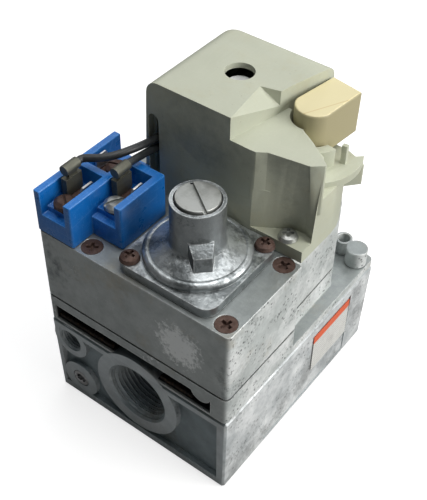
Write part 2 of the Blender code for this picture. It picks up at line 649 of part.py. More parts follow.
def cover(shell):
    tall = cover_blocks(shell)
    # The recess over the screw lug is deeper at the foot than under the shelf.
    high = ((19.0, -14.0), (50.0, -14.0), (50.0, -0.6), (42.3, -0.6), (40.6, -2.2), (38.3, -3.5),
            (34.8, -4.2), (31.0, -4.9), (27.2, -5.6), (23.5, -6.4), (19.9, -8.6))
    low = ((19.0, -14.0), (50.0, -14.0), (50.0, -2.8), (41.7, -2.8), (40.0, -0.6), (37.4, 0.4),
           (34.0, 0.0), (30.4, -1.6), (26.9, -3.7), (23.2, -6.1), (19.4, -8.4))
    cut(tall, loft("lug_recess", ([(x, y, SHELF_TOP + 0.8) for x, y in high],
                                  [(x, y, LUG_TOP) for x, y in low])))
    # The ramp runs down from the top to a corner of the tall part's right side.
    cut(tall, ramp("ramp", ((9.7, -9.0), (6.8, 12.5), (16.0, 14.9), (16.0, -9.0)), 0.0))
    hollow = tall_block("inside_tall", 80.0, WALL, 3.0, 4.0)
    cut(hollow, step_cutter("inside_side", WALL + 0.3, 80),
        ramp("under_ramp", ((5.6, -9.0), (5.6, 14.6), (16.0, 17.2), (16.0, -9.0)), 2.8))
    cut(tall, hollow,
        plate("inside_lower", ((6.0, -6.0), (18.3, -6.0), (25.2, -1.8), (31.5, 1.9), (36.0, 3.6),
                               (39.3, 3.6), (39.3, 14.0), (33.3, 25.2), (19.8, 30.6), (12.5, 30.6),
                               (6.0, 26.0)), 80, 109.0),
        bar("stem_opening", KNOB, 100, 120, 4.6, segments=24),
        bar("knob_pocket", KNOB, LEDGE_TOP - 0.1, 140, POCKET_RADIUS, segments=48),
        bar("sight_hole", SOLENOID, 120, 140, 5.5),
        block("lead_slot", (-26.0, -12, 80), (-21.2, -5, 120.4)),
        bar("lead_slot_arch", (-23.6, 120.4), -12, -5, 2.4, axis='Y', segments=16),
        bar("lug_hole", COVER_SCREW, 80, 96, 2.0, segments=12))
    return tall


# Knob, gas cock and safety valve

def knob_lever(tan):
    """The lever: a round nose on the turning axis, flat sides and a square tail."""
    plan = arc(KNOB, NOSE_RADIUS, -175, -20, 12) + ((33.5, 36.3), (20.8, 38.4))
    rings = []
    for height, size in ((KNOB_TOP, 0.965), (KNOB_TOP - 0.7, 1.0), (KNOB_BOTTOM, 0.985)):
        rings.append([((x - KNOB[0]) * size, (y - KNOB[1]) * size, height) for x, y in plan])
    lever = loft("knob_lever", rings, (*KNOB, 0.0), tan)
    return cut(lever, bar("lever_socket", KNOB, 110, 124.2, 3.5, segments=24))


def knob_drive(steel, brass, zinc):
    lathe("knob_stem", KNOB, ((0.0, 123.9), (3.2, 123.9), (3.2, 107.9), (6.4, 107.9), (6.4, 106.6),
                              (3.2, 106.6), (3.2, 60.0), (1.6, 59.0), (1.6, 47.6), (0.0, 47.6)),
          steel, steps=16)
    coil("knob_spring", KNOB, 90.9, 106.3, 5.4, 0.6, 5, steel)
    lathe("stem_bushing", KNOB, ((7.5, 90.6), (7.5, 88.8), (6.6, 88.8), (6.6, 83.6), (3.5, 83.6),
                                 (3.5, 90.6)), zinc, steps=24)
    plug = lathe("cock_plug", KNOB, ((6.55, 83.3), (5.75, 57.0), (3.5, 57.0), (3.5, 83.3)), brass, steps=24)
    return cut(plug, block("cock_window", (KNOB[0] - 8, KNOB[1] - 2.6, 60.4),
                           (KNOB[0] - 1, KNOB[1] + 2.6, 65.6)))


def safety_valve(steel, zinc):
    lathe("safety_poppet", KNOB,
          ((0.0, 47.3), (1.2, 47.3), (1.2, 42.0), (6.2, 42.0), (6.2, 40.2), (1.0, 40.2), (1.0, 33.0),
           (3.6, 33.0), (3.6, 31.4), (0.0, 31.4)), steel, steps=20)
    coil("safety_spring", KNOB, 27.8, 39.9, 4.6, 0.5, 4, steel)
    lathe("magnet_unit", KNOB, ((0.0, 27.5), (5.2, 27.5), (5.2, 8.3), (0.0, 8.3)), zinc, steps=20)


# Deck fittings and trim

def deck_fittings(steel, metal, paper):
    seat = DECK_TOP + 0.3
    lathe("inlet_tap", INLET_TAP, ((3.6, 52.6), (3.6, seat), (1.7, seat), (1.7, 44.0), (0.0, 44.0),
                                   (0.0, 47.0), (2.6, 47.0), (2.6, 52.6)), metal, steps=24)
    lathe("outlet_tap", OUTLET_TAP, ((0.0, 53.9), (4.2, 53.9), (4.5, 53.6), (4.5, seat), (1.7, seat),
                                     (1.7, 44.0), (0.0, 44.0)), metal, steps=24)
    lathe("pilot_fitting", PILOT_FITTING, ((0.0, 55.0), (1.2, 55.0), (1.5, 54.4), (1.5, seat),
                                           (1.2, seat), (1.2, 44.0), (0.0, 44.0)), steel, steps=12)
    plug = bar("port_plug", PLUG_PORT, -50.6, -44.0, 3.8, steel, axis='Y', segments=24)
    cut(plug, bar("plug_socket", PLUG_PORT, -55, -47.4, 2.4, axis='Y', segments=6))
    block("label_plate", (41.8, 8.7, 13.5), (42.1, 35.4, 33.8), paper)


def main():
    global PARTS, CUTTERS
    for old in list(bpy.data.objects):
        bpy.data.objects.remove(old)
    PARTS = collection("gas_valve")
    CUTTERS = collection("cutters")
    die_cast = paint("die_cast", (0.42, 0.44, 0.44), 0.5, 0.8)
    dark_cast = paint("dark_cast", (0.16, 0.19, 0.20), 0.55, 0.6)
    fibre = paint("fibre", (0.16, 0.10, 0.05), 0.95)
    zinc = paint("zinc", (0.55, 0.56, 0.55), 0.35, 0.9)
    rusty = paint("rusty_steel", (0.20, 0.10, 0.07), 0.7, 0.5)
    spring_steel = paint("spring_steel", (0.45, 0.45, 0.46), 0.3, 1.0)
    brass = paint("brass", (0.55, 0.42, 0.18), 0.35, 1.0)
    tin = paint("dull_tin", (0.25, 0.25, 0.20), 0.5, 0.8)
    tinned = paint("tinned_strip", (0.50, 0.50, 0.47), 0.35, 0.9)
    rubber = paint("black_rubber", (0.02, 0.02, 0.02), 0.6)
    fabric = paint("diaphragm", (0.05, 0.05, 0.05), 0.8)
    blue = paint("blue_plastic", (0.02, 0.10, 0.45), 0.3)
    beige = paint("beige_plastic", (0.45, 0.46, 0.36), 0.5)
    tan = paint("tan_plastic", (0.70, 0.62, 0.35), 0.5)
    white = paint("white_plastic", (0.75, 0.75, 0.72), 0.5)
    copper = paint("wound_copper", (0.35, 0.14, 0.06), 0.4, 0.6)
    paper = paint("label_film", (0.75, 0.76, 0.74), 0.5)

    base_casting(dark_cast)
    base_gasket(fibre)
    mid_casting(die_cast)
    upper_gasket(fibre)
    upper_body(die_cast)
    main_valve(spring_steel, rubber, fabric)
    regulator_housing(die_cast)
    regulator_inside(fabric, spring_steel, white, rubber, zinc)
    for index, spot in enumerate(BODY_SCREWS, 1):
        flat_screw(f"body_screw_{index}", spot, rusty)
    for index, spot in enumerate(REGULATOR_SCREWS, 1):
        pan_screw(f"regulator_screw_{index}", spot, 92.6, 82.0, rusty)
    pan_screw("cover_screw", COVER_SCREW, LUG_TOP, 82.0, zinc)
    terminal_block(blue)
    for index in range(3):
        terminal_plate(index, tinned)
        terminal_screw(index, rusty if index != 1 else zinc)
    for index in range(2):
        spade(index, tin)
        lead(index, rubber)
    solenoid(spring_steel, white, copper, zinc)
    cover(beige)
    knob_lever(tan)
    knob_drive(spring_steel, brass, zinc)
    safety_valve(spring_steel, zinc)
    deck_fittings(spring_steel, die_cast, paper)


main()
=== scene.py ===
import json
import math

import bmesh
import bpy
import numpy as np
from bpy.props import FloatProperty, FloatVectorProperty, IntProperty, PointerProperty
from mathutils import Euler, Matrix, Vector

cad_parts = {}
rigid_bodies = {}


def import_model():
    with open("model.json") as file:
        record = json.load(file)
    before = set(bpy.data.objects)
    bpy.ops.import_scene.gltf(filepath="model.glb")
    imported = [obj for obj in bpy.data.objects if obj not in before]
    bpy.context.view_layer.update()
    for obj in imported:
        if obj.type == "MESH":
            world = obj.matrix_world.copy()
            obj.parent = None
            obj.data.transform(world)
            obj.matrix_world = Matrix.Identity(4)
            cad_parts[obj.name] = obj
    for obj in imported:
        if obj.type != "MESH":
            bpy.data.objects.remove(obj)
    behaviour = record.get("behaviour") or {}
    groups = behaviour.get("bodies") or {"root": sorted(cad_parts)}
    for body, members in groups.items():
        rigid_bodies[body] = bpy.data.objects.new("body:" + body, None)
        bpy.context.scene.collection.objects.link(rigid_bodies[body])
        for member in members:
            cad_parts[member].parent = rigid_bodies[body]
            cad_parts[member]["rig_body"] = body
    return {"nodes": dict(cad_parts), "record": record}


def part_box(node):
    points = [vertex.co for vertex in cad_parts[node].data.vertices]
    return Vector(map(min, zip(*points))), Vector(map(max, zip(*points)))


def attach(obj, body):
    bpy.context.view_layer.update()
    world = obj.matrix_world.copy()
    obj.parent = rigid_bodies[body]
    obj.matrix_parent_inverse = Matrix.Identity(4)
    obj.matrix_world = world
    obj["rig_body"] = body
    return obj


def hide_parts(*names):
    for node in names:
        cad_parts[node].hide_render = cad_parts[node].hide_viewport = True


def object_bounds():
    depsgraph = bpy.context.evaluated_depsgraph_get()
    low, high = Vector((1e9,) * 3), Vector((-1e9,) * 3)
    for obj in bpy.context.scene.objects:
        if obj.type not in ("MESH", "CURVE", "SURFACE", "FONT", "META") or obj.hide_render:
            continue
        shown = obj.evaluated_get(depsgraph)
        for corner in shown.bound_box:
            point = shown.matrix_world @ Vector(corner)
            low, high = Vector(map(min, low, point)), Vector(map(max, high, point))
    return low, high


bl_info = {
    "name": "Gas Valve",
    "version": (1, 0, 0),
    "blender": (4, 5, 0),
    "location": "View3D > Sidebar > Gas Valve",
    "description": "Builds the visible surfaces and finishes of a combination gas control valve",
    "category": "Add Mesh",
}

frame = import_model()
CAD_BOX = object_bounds()
BODY_OF = {node: obj["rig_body"] for node, obj in frame["nodes"].items()}
SLOT_OF = {part["node"]: part["material_slot"] for part in frame["record"]["subparts"]}
GROUPS = {}
FINISHES = {}


# Places in metres, in the frame of the solids

PIPE_PORT = (0.0, 0.026)
PIPE_BORE = 0.01335
PIPE_THREAD_LENGTH = 0.0155
PILOT_PORT = (-0.0339, 0.033)
PILOT_BORE = 0.00535
PILOT_PITCH = 0.00106
PILOT_THREAD_DEPTH = 0.0006
PILOT_THREAD_LENGTH = 0.0085
SLOT_LOW = (-0.0397, -0.05125, 0.0432)
SLOT_HIGH = (0.0354, -0.0410, 0.0506)
PACKING_SPANS = (("left", -0.0390, -0.0112), ("right", 0.0112, 0.0266))
PACKING_DEPTH = (-0.0502, -0.0484)
PACKING_HEIGHT = 0.0022
REGULATOR_AXIS = (0.0124, -0.0289)
ROLL_RADIUS = 0.0174
ROLL_THICKNESS = 0.0019
ROLL_HEIGHT = 0.0939
BLOOM_CENTRE = (0.0215, -0.0512, 0.0700)
# Heights over which the painted shade on the cover's front fades out upwards
FRONT_SHADE_HEIGHTS = (0.104, 0.135)
RUST_HEIGHTS = (0.1016, 0.1026)
# Heights below which the screw shanks are painted near black as shade
SHANK_SHADE_HEIGHTS = (0.078, 0.080)
LABEL_BAND = 0.0040
LABEL_ROW = 0.0016

# The groove on the knob: a point that it passes through, and the direction that it runs in
KNOB_LINE = ((0.0242, 0.0121), (0.4386, 0.8987))

# Each lead's route in millimetres, from its spade to its end inside the cover
LEAD_ROUTES = (
    ((-36.8, -33.9, 111.4), (-36.4, -32.0, 111.5), (-34.4, -30.4, 111.7), (-31.2, -28.0, 111.9),
     (-28.0, -24.4, 112.3), (-25.6, -19.6, 112.7), (-24.0, -13.8, 112.5), (-23.3, -7.8, 112.0),
     (-22.8, -2.6, 111.8), (-21.4, 2.2, 111.5), (-18.8, 6.4, 111.2), (-17.0, 8.7, 111.0)),
    ((-22.7, -23.6, 110.8), (-22.6, -20.6, 110.6), (-22.7, -17.0, 110.0), (-22.9, -12.8, 109.2),
     (-23.1, -8.2, 108.0), (-23.0, -3.4, 106.8), (-22.2, 1.4, 105.9), (-20.6, 5.8, 105.3),
     (-18.5, 9.4, 105.0), (-17.2, 11.3, 105.0)),
)

# Name, place, width, power and tint of each lamp, and the point that they all face
LAMPS = (
    ("right", (0.80, 0.20, 0.45), 0.6, 7.5, (1.0, 0.99, 0.97)),
    ("overhead", (0.10, 0.15, 1.10), 0.9, 7.6, (1.0, 1.0, 1.0)),
    ("back", (-0.60, 0.80, 0.70), 0.9, 3.0, (0.96, 0.98, 1.0)),
)
LAMP_TARGET = (0.0, 0.0, 0.06)
CAMERA_PLACE = (0.15473, -0.21283, 0.32071)
CAMERA_DEGREES = (45.859, -1.203, 36.771)
CAMERA_LENS = 79.87
CAMERA_SHIFT = (-0.0226, -0.0055)
FLOOR_HALF = 4.0
FLOOR_HEIGHT = -0.0002


# Sizes and colours that a user would change

class GasValveSizes(bpy.types.PropertyGroup):
    casting_edge: FloatProperty(
        name="Casting edge", description="Width of the rounded edges of the die castings",
        default=0.0007, min=0.0, unit='LENGTH')
    cover_edge: FloatProperty(
        name="Cover edge", description="Width of the rounded edges of the moulded cover",
        default=0.0016, min=0.0, unit='LENGTH')
    fine_edge: FloatProperty(
        name="Fine edge", description="Width of the rounded edges of small turned and pressed pieces",
        default=0.00022, min=0.0, unit='LENGTH')
    block_edge: FloatProperty(
        name="Block edge", description="Width of the rounded edges of the terminal block and the regulator",
        default=0.0006, min=0.0, unit='LENGTH')
    knob_edge: FloatProperty(
        name="Knob edge", description="Width of the rounded edges of the knob",
        default=0.0008, min=0.0, unit='LENGTH')
    strip_edge: FloatProperty(
        name="Strip edge", description="Width of the rounded edges of the terminal strips",
        default=0.00015, min=0.0, unit='LENGTH')
    spade_edge: FloatProperty(
        name="Spade edge", description="Width of the rounded edges of the wire spades",
        default=0.0003, min=0.0, unit='LENGTH')
    thread_pitch: FloatProperty(
        name="Thread pitch", description="Distance between the ridges of the pipe thread",
        default=0.00181, min=0.0005, unit='LENGTH')
    thread_depth: FloatProperty(
        name="Thread depth", description="Height of the ridges of the pipe thread",
        default=0.0011, min=0.0, unit='LENGTH')
    lead_diameter: FloatProperty(
        name="Lead diameter", description="Thickness of the black leads over their insulation",
        default=0.0029, min=0.0005, unit='LENGTH')
    edge_segments: IntProperty(
        name="Edge segments", description="Number of steps across a rounded edge",
        default=3, min=1, max=6)


class GasValveColours(bpy.types.PropertyGroup):
    cast_light: FloatVectorProperty(
        name="Casting", description="Clean die-cast metal", subtype='COLOR',
        default=(0.47, 0.50, 0.49), min=0.0, max=1.0)
    cast_dark: FloatVectorProperty(
        name="Casting patina", description="Dark oily film on the castings", subtype='COLOR',
        default=(0.13, 0.15, 0.155), min=0.0, max=1.0)
    stain: FloatVectorProperty(
        name="Stain", description="Yellow-brown stain on metal and plastic", subtype='COLOR',
        default=(0.36, 0.27, 0.13), min=0.0, max=1.0)
    rust: FloatVectorProperty(
        name="Rust", description="Rust on the screws", subtype='COLOR',
        default=(0.080, 0.048, 0.038), min=0.0, max=1.0)
    blue: FloatVectorProperty(
        name="Terminal block", description="Blue moulding of the terminal block", subtype='COLOR',
        default=(0.006, 0.165, 0.56), min=0.0, max=1.0)
    cover: FloatVectorProperty(
        name="Cover", description="Grey-green beige of the moulded cover", subtype='COLOR',
        default=(0.50, 0.52, 0.41), min=0.0, max=1.0)
    knob: FloatVectorProperty(
        name="Knob", description="Yellowed cream of the knob", subtype='COLOR',
        default=(0.66, 0.59, 0.35), min=0.0, max=1.0)
    band: FloatVectorProperty(
        name="Label band", description="Coloured band along the top of the label", subtype='COLOR',
        default=(0.75, 0.12, 0.04), min=0.0, max=1.0)


# Shader helpers

class Nodes:
    """Adds nodes to a tree, one call for each kind that the finishes use."""

    def __init__(self, tree):
        self.tree = tree

    def add(self, kind, **settings):
        node = self.tree.nodes.new(kind)
        for key, value in settings.items():
            setattr(node, key, value)
        return node

    def feed(self, socket, value):
        if isinstance(value, bpy.types.NodeSocket):
            self.tree.links.new(value, socket)
        elif isinstance(value, (tuple, list)) and len(value) == 3 and socket.type == 'RGBA':
            socket.default_value = (*value, 1.0)
        elif value is not None:
            socket.default_value = value

    def place(self, scale=(1.0, 1.0, 1.0), offset=(0.0, 0.0, 0.0)):
        """Object coordinates, stretched and moved."""
        coordinates = self.add("ShaderNodeTexCoord")
        mapping = self.add("ShaderNodeMapping")
        self.feed(mapping.inputs["Vector"], coordinates.outputs["Object"])
        mapping.inputs["Scale"].default_value = scale
        mapping.inputs["Location"].default_value = offset
        return mapping.outputs["Vector"]

    def noise(self, scale, detail=4.0, rough=0.55, at=None, distortion=0.0):
        node = self.add("ShaderNodeTexNoise")
        self.feed(node.inputs["Vector"], at if at is not None else self.place())
        self.feed(node.inputs["Scale"], scale)
        self.feed(node.inputs["Detail"], detail)
        self.feed(node.inputs["Roughness"], rough)
        self.feed(node.inputs["Distortion"], distortion)
        return node.outputs["Fac"]

    def cells(self, scale, at=None):
        node = self.add("ShaderNodeTexVoronoi")
        self.feed(node.inputs["Vector"], at if at is not None else self.place())
        self.feed(node.inputs["Scale"], scale)
        return node.outputs["Distance"]

    def reach(self, value, low, high, out_low=0.0, out_high=1.0):
        """Value stretched from low..high to out_low..out_high and held there."""
        node = self.add("ShaderNodeMapRange")
        self.feed(node.inputs["Value"], value)
        self.feed(node.inputs["From Min"], low)
        self.feed(node.inputs["From Max"], high)
        self.feed(node.inputs["To Min"], out_low)
        self.feed(node.inputs["To Max"], out_high)
        return node.outputs["Result"]

    def maths(self, operation, first, second=0.0):
        node = self.add("ShaderNodeMath", operation=operation)
        self.feed(node.inputs[0], first)
        self.feed(node.inputs[1], second)
        return node.outputs["Value"]

    def times(self, first, *others):
        """The product of two or more values."""
        for value in others:
            first = self.maths('MULTIPLY', first, value)
        return first

    def blend(self, amount, first, second):
        node = self.add("ShaderNodeMix", data_type='RGBA')
        self.feed(node.inputs["Factor"], amount)
        self.feed(node.inputs["A"], first)
        self.feed(node.inputs["B"], second)
        return node.outputs["Result"]

    def axis(self, vector, name):
        node = self.add("ShaderNodeSeparateXYZ")
        self.feed(node.inputs["Vector"], vector)
        return node.outputs[name]

    def facing(self, name):
        """How far the surface faces along an axis."""
        return self.axis(self.add("ShaderNodeNewGeometry").outputs["Normal"], name)

    def distance(self, point):
        """How far the surface is from a point."""
        node = self.add("ShaderNodeVectorMath", operation='DISTANCE')
        self.feed(node.inputs[0], self.place())
        node.inputs[1].default_value = point
        return node.outputs["Value"]

    def bump(self, height, strength, distance):
        node = self.add("ShaderNodeBump")
        self.feed(node.inputs["Height"], height)
        self.feed(node.inputs["Strength"], strength)
        self.feed(node.inputs["Distance"], distance)
        return node.outputs["Normal"]

    def group(self, key, output, **inputs):
        node = self.add("ShaderNodeGroup", node_tree=GROUPS[key])
        for name, value in inputs.items():
            self.feed(node.inputs[name], value)
        return node.outputs[output]

    def patches(self, scale, low, high):
        return self.group("patches", "Mask", Scale=scale, Low=low, High=high)

    def wear(self, radius, amount, scale):
        return self.group("edges", "Mask", Radius=radius, Amount=amount, Scale=scale)

    def scratches(self, scale, amount):
        return self.group("scratches", "Mask", Scale=scale, Amount=amount)

    def grain(self, scale, pits):
        return self.group("grain", "Height", Scale=scale, Pits=pits)


def new_group(name, inputs, outputs):
    tree = bpy.data.node_groups.new(name, 'ShaderNodeTree')
    for key, value in inputs:
        socket = tree.interface.new_socket(key, in_out='INPUT', socket_type='NodeSocketFloat')
        socket.default_value = value
    for key in outputs:
        tree.interface.new_socket(key, in_out='OUTPUT', socket_type='NodeSocketFloat')
    return tree, Nodes(tree), tree.nodes.new("NodeGroupInput"), tree.nodes.new("NodeGroupOutput")


def edge_wear_group():
    """Worn edges: one minus the cosine between the surface and its rounded copy, broken by noise."""
    tree, n, given, result = new_group(
        "Edge wear", (("Radius", 0.0006), ("Amount", 1.0), ("Scale", 600.0)), ("Mask",))
    round_edge = n.add("ShaderNodeBevel", samples=6)
    n.feed(round_edge.inputs["Radius"], given.outputs["Radius"])
    cosine = n.add("ShaderNodeVectorMath", operation='DOT_PRODUCT')
    n.feed(cosine.inputs[0], round_edge.outputs["Normal"])
    n.feed(cosine.inputs[1], n.add("ShaderNodeNewGeometry").outputs["Normal"])
    turned = n.reach(cosine.outputs["Value"], 0.985, 0.86)
    broken = n.reach(n.noise(given.outputs["Scale"], 5.0, 0.65), 0.34, 0.56)
    n.feed(result.inputs["Mask"],
           n.times(turned, broken, given.outputs["Amount"]))
    return tree


def cloud_group():
    """Patches: noise at a scale, with a second finer noise breaking its borders, cut between limits."""
    tree, n, given, result = new_group(
        "Patches", (("Scale", 40.0), ("Low", 0.48), ("High", 0.62)), ("Mask",))
    coarse = n.noise(given.outputs["Scale"], 3.0, 0.5)
    fine = n.noise(n.times(given.outputs["Scale"], 9.0), 4.0, 0.65)
    both = n.maths('ADD', n.times(coarse, 0.72), n.times(fine, 0.28))
    n.feed(result.inputs["Mask"], n.reach(both, given.outputs["Low"], given.outputs["High"]))
    return tree


def grain_group():
    """Cast grain: fine noise with small round pits taken out of it."""
    tree, n, given, result = new_group(
        "Cast grain", (("Scale", 900.0), ("Pits", 0.5)), ("Height",))
    grain = n.noise(given.outputs["Scale"], 5.0, 0.6)
    pit = n.reach(n.cells(n.times(given.outputs["Scale"], 0.45)), 0.05, 0.32, 0.0, 1.0)
    sunk = n.times(n.maths('SUBTRACT', 1.0, pit), given.outputs["Pits"])
    n.feed(result.inputs["Height"], n.maths('SUBTRACT', grain, sunk))
    return tree


def scratch_group():
    """Fine scratches: noise stretched along a line, kept where it is near its middle value."""
    tree, n, given, result = new_group("Scratches", (("Scale", 60.0), ("Amount", 0.5)), ("Mask",))
    lines = None
    for scale, offset in (((26.0, 1.0, 3.0), (0.2, 0.4, 0.1)), ((2.0, 19.0, 4.0), (0.7, 0.1, 0.5)),
                          ((7.0, 5.0, 30.0), (0.3, 0.9, 0.2))):
        value = n.noise(given.outputs["Scale"], 2.0, 0.5, n.place(scale, offset), 0.4)
        line = n.reach(n.maths('ABSOLUTE', n.maths('SUBTRACT', value, 0.5)), 0.0, 0.012, 1.0, 0.0)
        lines = line if lines is None else n.maths('MAXIMUM', lines, line)
    n.feed(result.inputs["Mask"], n.times(lines, given.outputs["Amount"]))
    return tree


def scaled(colour, factor):
    return tuple(min(1.0, channel * factor) for channel in colour)


def start(name):
    """A new material, its node helper and its Principled shader."""
    made = bpy.data.materials.new(name)
    made.use_nodes = True
    return made, Nodes(made.node_tree), made.node_tree.nodes["Principled BSDF"].inputs


def dark_pits(n):
    """Small dark pits and flecks, crowded in some places and absent in others."""
    pits = n.reach(n.cells(560.0), 0.16, 0.34, 1.0, 0.0)
    crowd = n.reach(n.noise(110.0, 4.0, 0.65), 0.46, 0.58)
    fleck = n.reach(n.noise(620.0, 5.0, 0.75), 0.56, 0.66)
    return n.times(n.maths('MAXIMUM', pits, n.times(fleck, 0.7)), crowd)


def slot_shadow(n):
    """One at the height and depth of the front slot, as far as its right end, and zero elsewhere."""
    spot = n.place()
    into = n.reach(n.axis(spot, "Y"), SLOT_LOW[1] + 0.0006, SLOT_LOW[1] + 0.0012)
    behind = n.reach(n.axis(spot, "Y"), SLOT_HIGH[1] + 0.0002, SLOT_HIGH[1])
    under = n.reach(n.axis(spot, "Z"), SLOT_HIGH[2] + 0.0003, SLOT_HIGH[2])
    above = n.reach(n.axis(spot, "Z"), SLOT_LOW[2] - 0.0003, SLOT_LOW[2])
    within = n.reach(n.axis(spot, "X"), SLOT_HIGH[0] + 0.0003, SLOT_HIGH[0] + 0.0001)
    return n.times(into, under, above, behind, within)


def chalk_bloom(n, front):
    """White powder: a round spot on the front face and thin streaks over it, broken into crumbs."""
    spot = n.times(n.reach(n.distance(BLOOM_CENTRE), 0.003, 0.015, 1.0, 0.0), 0.50)
    streaks = n.times(n.patches(30.0, 0.56, 0.66), 0.24, front)
    near = n.maths('MAXIMUM', spot, streaks)
    return n.reach(n.maths('ADD', near, n.noise(520.0, 6.0, 0.75)), 0.70, 0.88)


def cast_metal(name, light, dark, stain):
    """Die-cast metal: bright alloy, dark film in patches, white bloom, yellow stains, bare edges, with
    painted shade on the front faces and on the faces that look up, and painted light on the right side.
    """
    made, n, shader = start(name)
    upward = n.reach(n.facing("Z"), 0.5, 0.95)
    front = n.reach(n.facing("Y"), -0.5, -0.95)
    side = n.reach(n.facing("X"), 0.3, 0.9)
    # The dark film is thinned on the faces that look up and on the right side, which is painted light there,
    # and every front face gets at least a third of it, which is painted shade.
    film = n.times(n.patches(34.0, 0.515, 0.675), n.reach(upward, 0.0, 1.0, 1.0, 0.5),
                   n.reach(side, 0.0, 1.0, 1.0, 0.35))
    film = n.maths('MAXIMUM', film, n.times(front, 0.34))
    alloy = n.blend(n.reach(n.noise(150.0, 5.0, 0.7), 0.35, 0.7), light, scaled(light, 1.35))
    colour = n.blend(film, alloy, dark)
    bloom = n.patches(70.0, 0.555, 0.62)
    specks = n.reach(n.noise(1500.0, 3.0, 0.7), 0.52, 0.64)
    colour = n.blend(n.times(bloom, specks, 0.55), colour, (0.62, 0.65, 0.64))
    chalk = chalk_bloom(n, front)
    colour = n.blend(chalk, colour, (0.93, 0.96, 0.95))
    # Pale patches on the right side only: painted light where the lamp falls.
    pale = n.patches(62.0, 0.42, 0.60)
    colour = n.blend(n.times(pale, side, 0.9), colour, (0.88, 0.90, 0.89))
    colour = n.blend(n.times(dark_pits(n), side), colour, (0.08, 0.09, 0.09))
    # The faces that look up are darkened towards the patina colour: painted shade.
    colour = n.blend(n.times(upward, 0.52), colour, scaled(dark, 1.1))
    yellow = n.patches(48.0, 0.56, 0.72)
    colour = n.blend(n.times(yellow, 0.35), colour, stain)
    colour = n.blend(n.scratches(30.0, 0.12), colour, (0.60, 0.62, 0.61))
    wear = n.wear(0.0009, 0.85, 420.0)
    colour = n.blend(wear, colour, (0.78, 0.80, 0.79))
    n.feed(shader["Base Color"], n.blend(n.times(slot_shadow(n), 0.93), colour, (0.012, 0.013, 0.014)))
    metallic = n.times(n.reach(film, 0.0, 1.0, 0.60, 0.40), n.reach(chalk, 0.0, 1.0, 1.0, 0.1),
                       n.reach(side, 0.0, 1.0, 1.0, 0.45))
    n.feed(shader["Metallic"], metallic)
    roughness = n.reach(n.noise(260.0, 4.0, 0.6), 0.3, 0.7, 0.34, 0.56)
    n.feed(shader["Roughness"], n.maths('SUBTRACT', roughness, n.times(wear, 0.12)))
    n.feed(shader["Normal"], n.bump(n.grain(700.0, 0.45), 0.5, 0.00012))
    return made


def polished_casting(name, dark):
    """The regulator's housing: shiny alloy under a dark mottled film, and darker on every upright wall,
    darkest up the tower's side.
    """
    made, n, shader = start(name)
    # Darker on every upright wall.
    wall = n.reach(n.maths('ABSOLUTE', n.facing("Z")), 0.55, 0.25)
    mottle = n.patches(95.0, 0.47, 0.58)
    film = n.maths('MAXIMUM', n.times(mottle, 0.75), n.times(wall, 0.6))
    alloy = n.blend(n.noise(260.0, 5.0, 0.7), (0.34, 0.37, 0.38), (0.80, 0.84, 0.85))
    colour = n.blend(film, alloy, scaled(dark, 0.55))
    wear = n.wear(0.0010, 0.8, 420.0)
    n.feed(shader["Base Color"], n.blend(wear, colour, (0.80, 0.83, 0.83)))
    shader["Metallic"].default_value = 0.85
    n.feed(shader["Roughness"], n.reach(n.noise(300.0, 5.0, 0.6), 0.3, 0.7, 0.26, 0.50))
    dents = n.maths('ADD', n.noise(240.0, 4.0, 0.6), n.times(n.noise(900.0, 4.0, 0.6), 0.35))
    n.feed(shader["Normal"], n.bump(dents, 0.7, 0.0004))
    return made


def machined_face(name, dark, stain):
    """The dark lower casting: blue-grey with brown patches, painted light on the right side, and pale proud
    faces.
    """
    made, n, shader = start(name)
    side = n.reach(n.facing("X"), 0.3, 0.9)
    tone = n.blend(n.noise(90.0, 5.0, 0.65), scaled(dark, 1.2),
                   (dark[0] * 3.2, dark[1] * 3.3, dark[2] * 3.4))
    # The right side is painted pale: painted light where the lamp falls.
    painted_light_side = n.blend(n.reach(n.noise(70.0, 5.0, 0.7), 0.3, 0.7), (0.40, 0.43, 0.44), (0.96, 0.98, 0.98))
    tone = n.blend(side, tone, painted_light_side)
    tone = n.blend(n.times(dark_pits(n), side, 0.75), tone, (0.09, 0.10, 0.10))
    brown = n.patches(60.0, 0.53, 0.68)
    tone = n.blend(n.times(brown, n.reach(side, 0.0, 1.0, 0.6, 0.15)), tone, scaled(stain, 0.32))
    smear = n.patches(55.0, 0.5, 0.6)
    tone = n.blend(n.times(smear, side, 0.45), tone, (0.16, 0.17, 0.17))
    proud = n.reach(n.axis(n.place(), "Y"), CAD_BOX[0].y + 0.0012, CAD_BOX[0].y + 0.0008)
    facing_front = n.reach(n.facing("Y"), -0.8, -0.95)
    pale_front = n.blend(n.noise(160.0, 5.0, 0.7), (0.40, 0.44, 0.45), (0.90, 0.94, 0.95))
    tone = n.blend(n.times(proud, facing_front, 0.7), tone, pale_front)
    tone = n.blend(n.wear(0.0008, 0.8, 380.0), tone, (0.50, 0.54, 0.55))
    tone = n.blend(n.scratches(36.0, 0.12), tone, (0.42, 0.46, 0.47))
    n.feed(shader["Base Color"], tone)
    metallic = n.times(n.reach(brown, 0.0, 1.0, 0.6, 0.25), n.reach(side, 0.0, 1.0, 1.0, 0.35))
    n.feed(shader["Metallic"], metallic)
    n.feed(shader["Roughness"], n.reach(n.noise(200.0, 4.0, 0.6), 0.3, 0.7, 0.34, 0.58))
    n.feed(shader["Normal"], n.bump(n.grain(650.0, 0.5), 0.5, 0.00013))
    return made


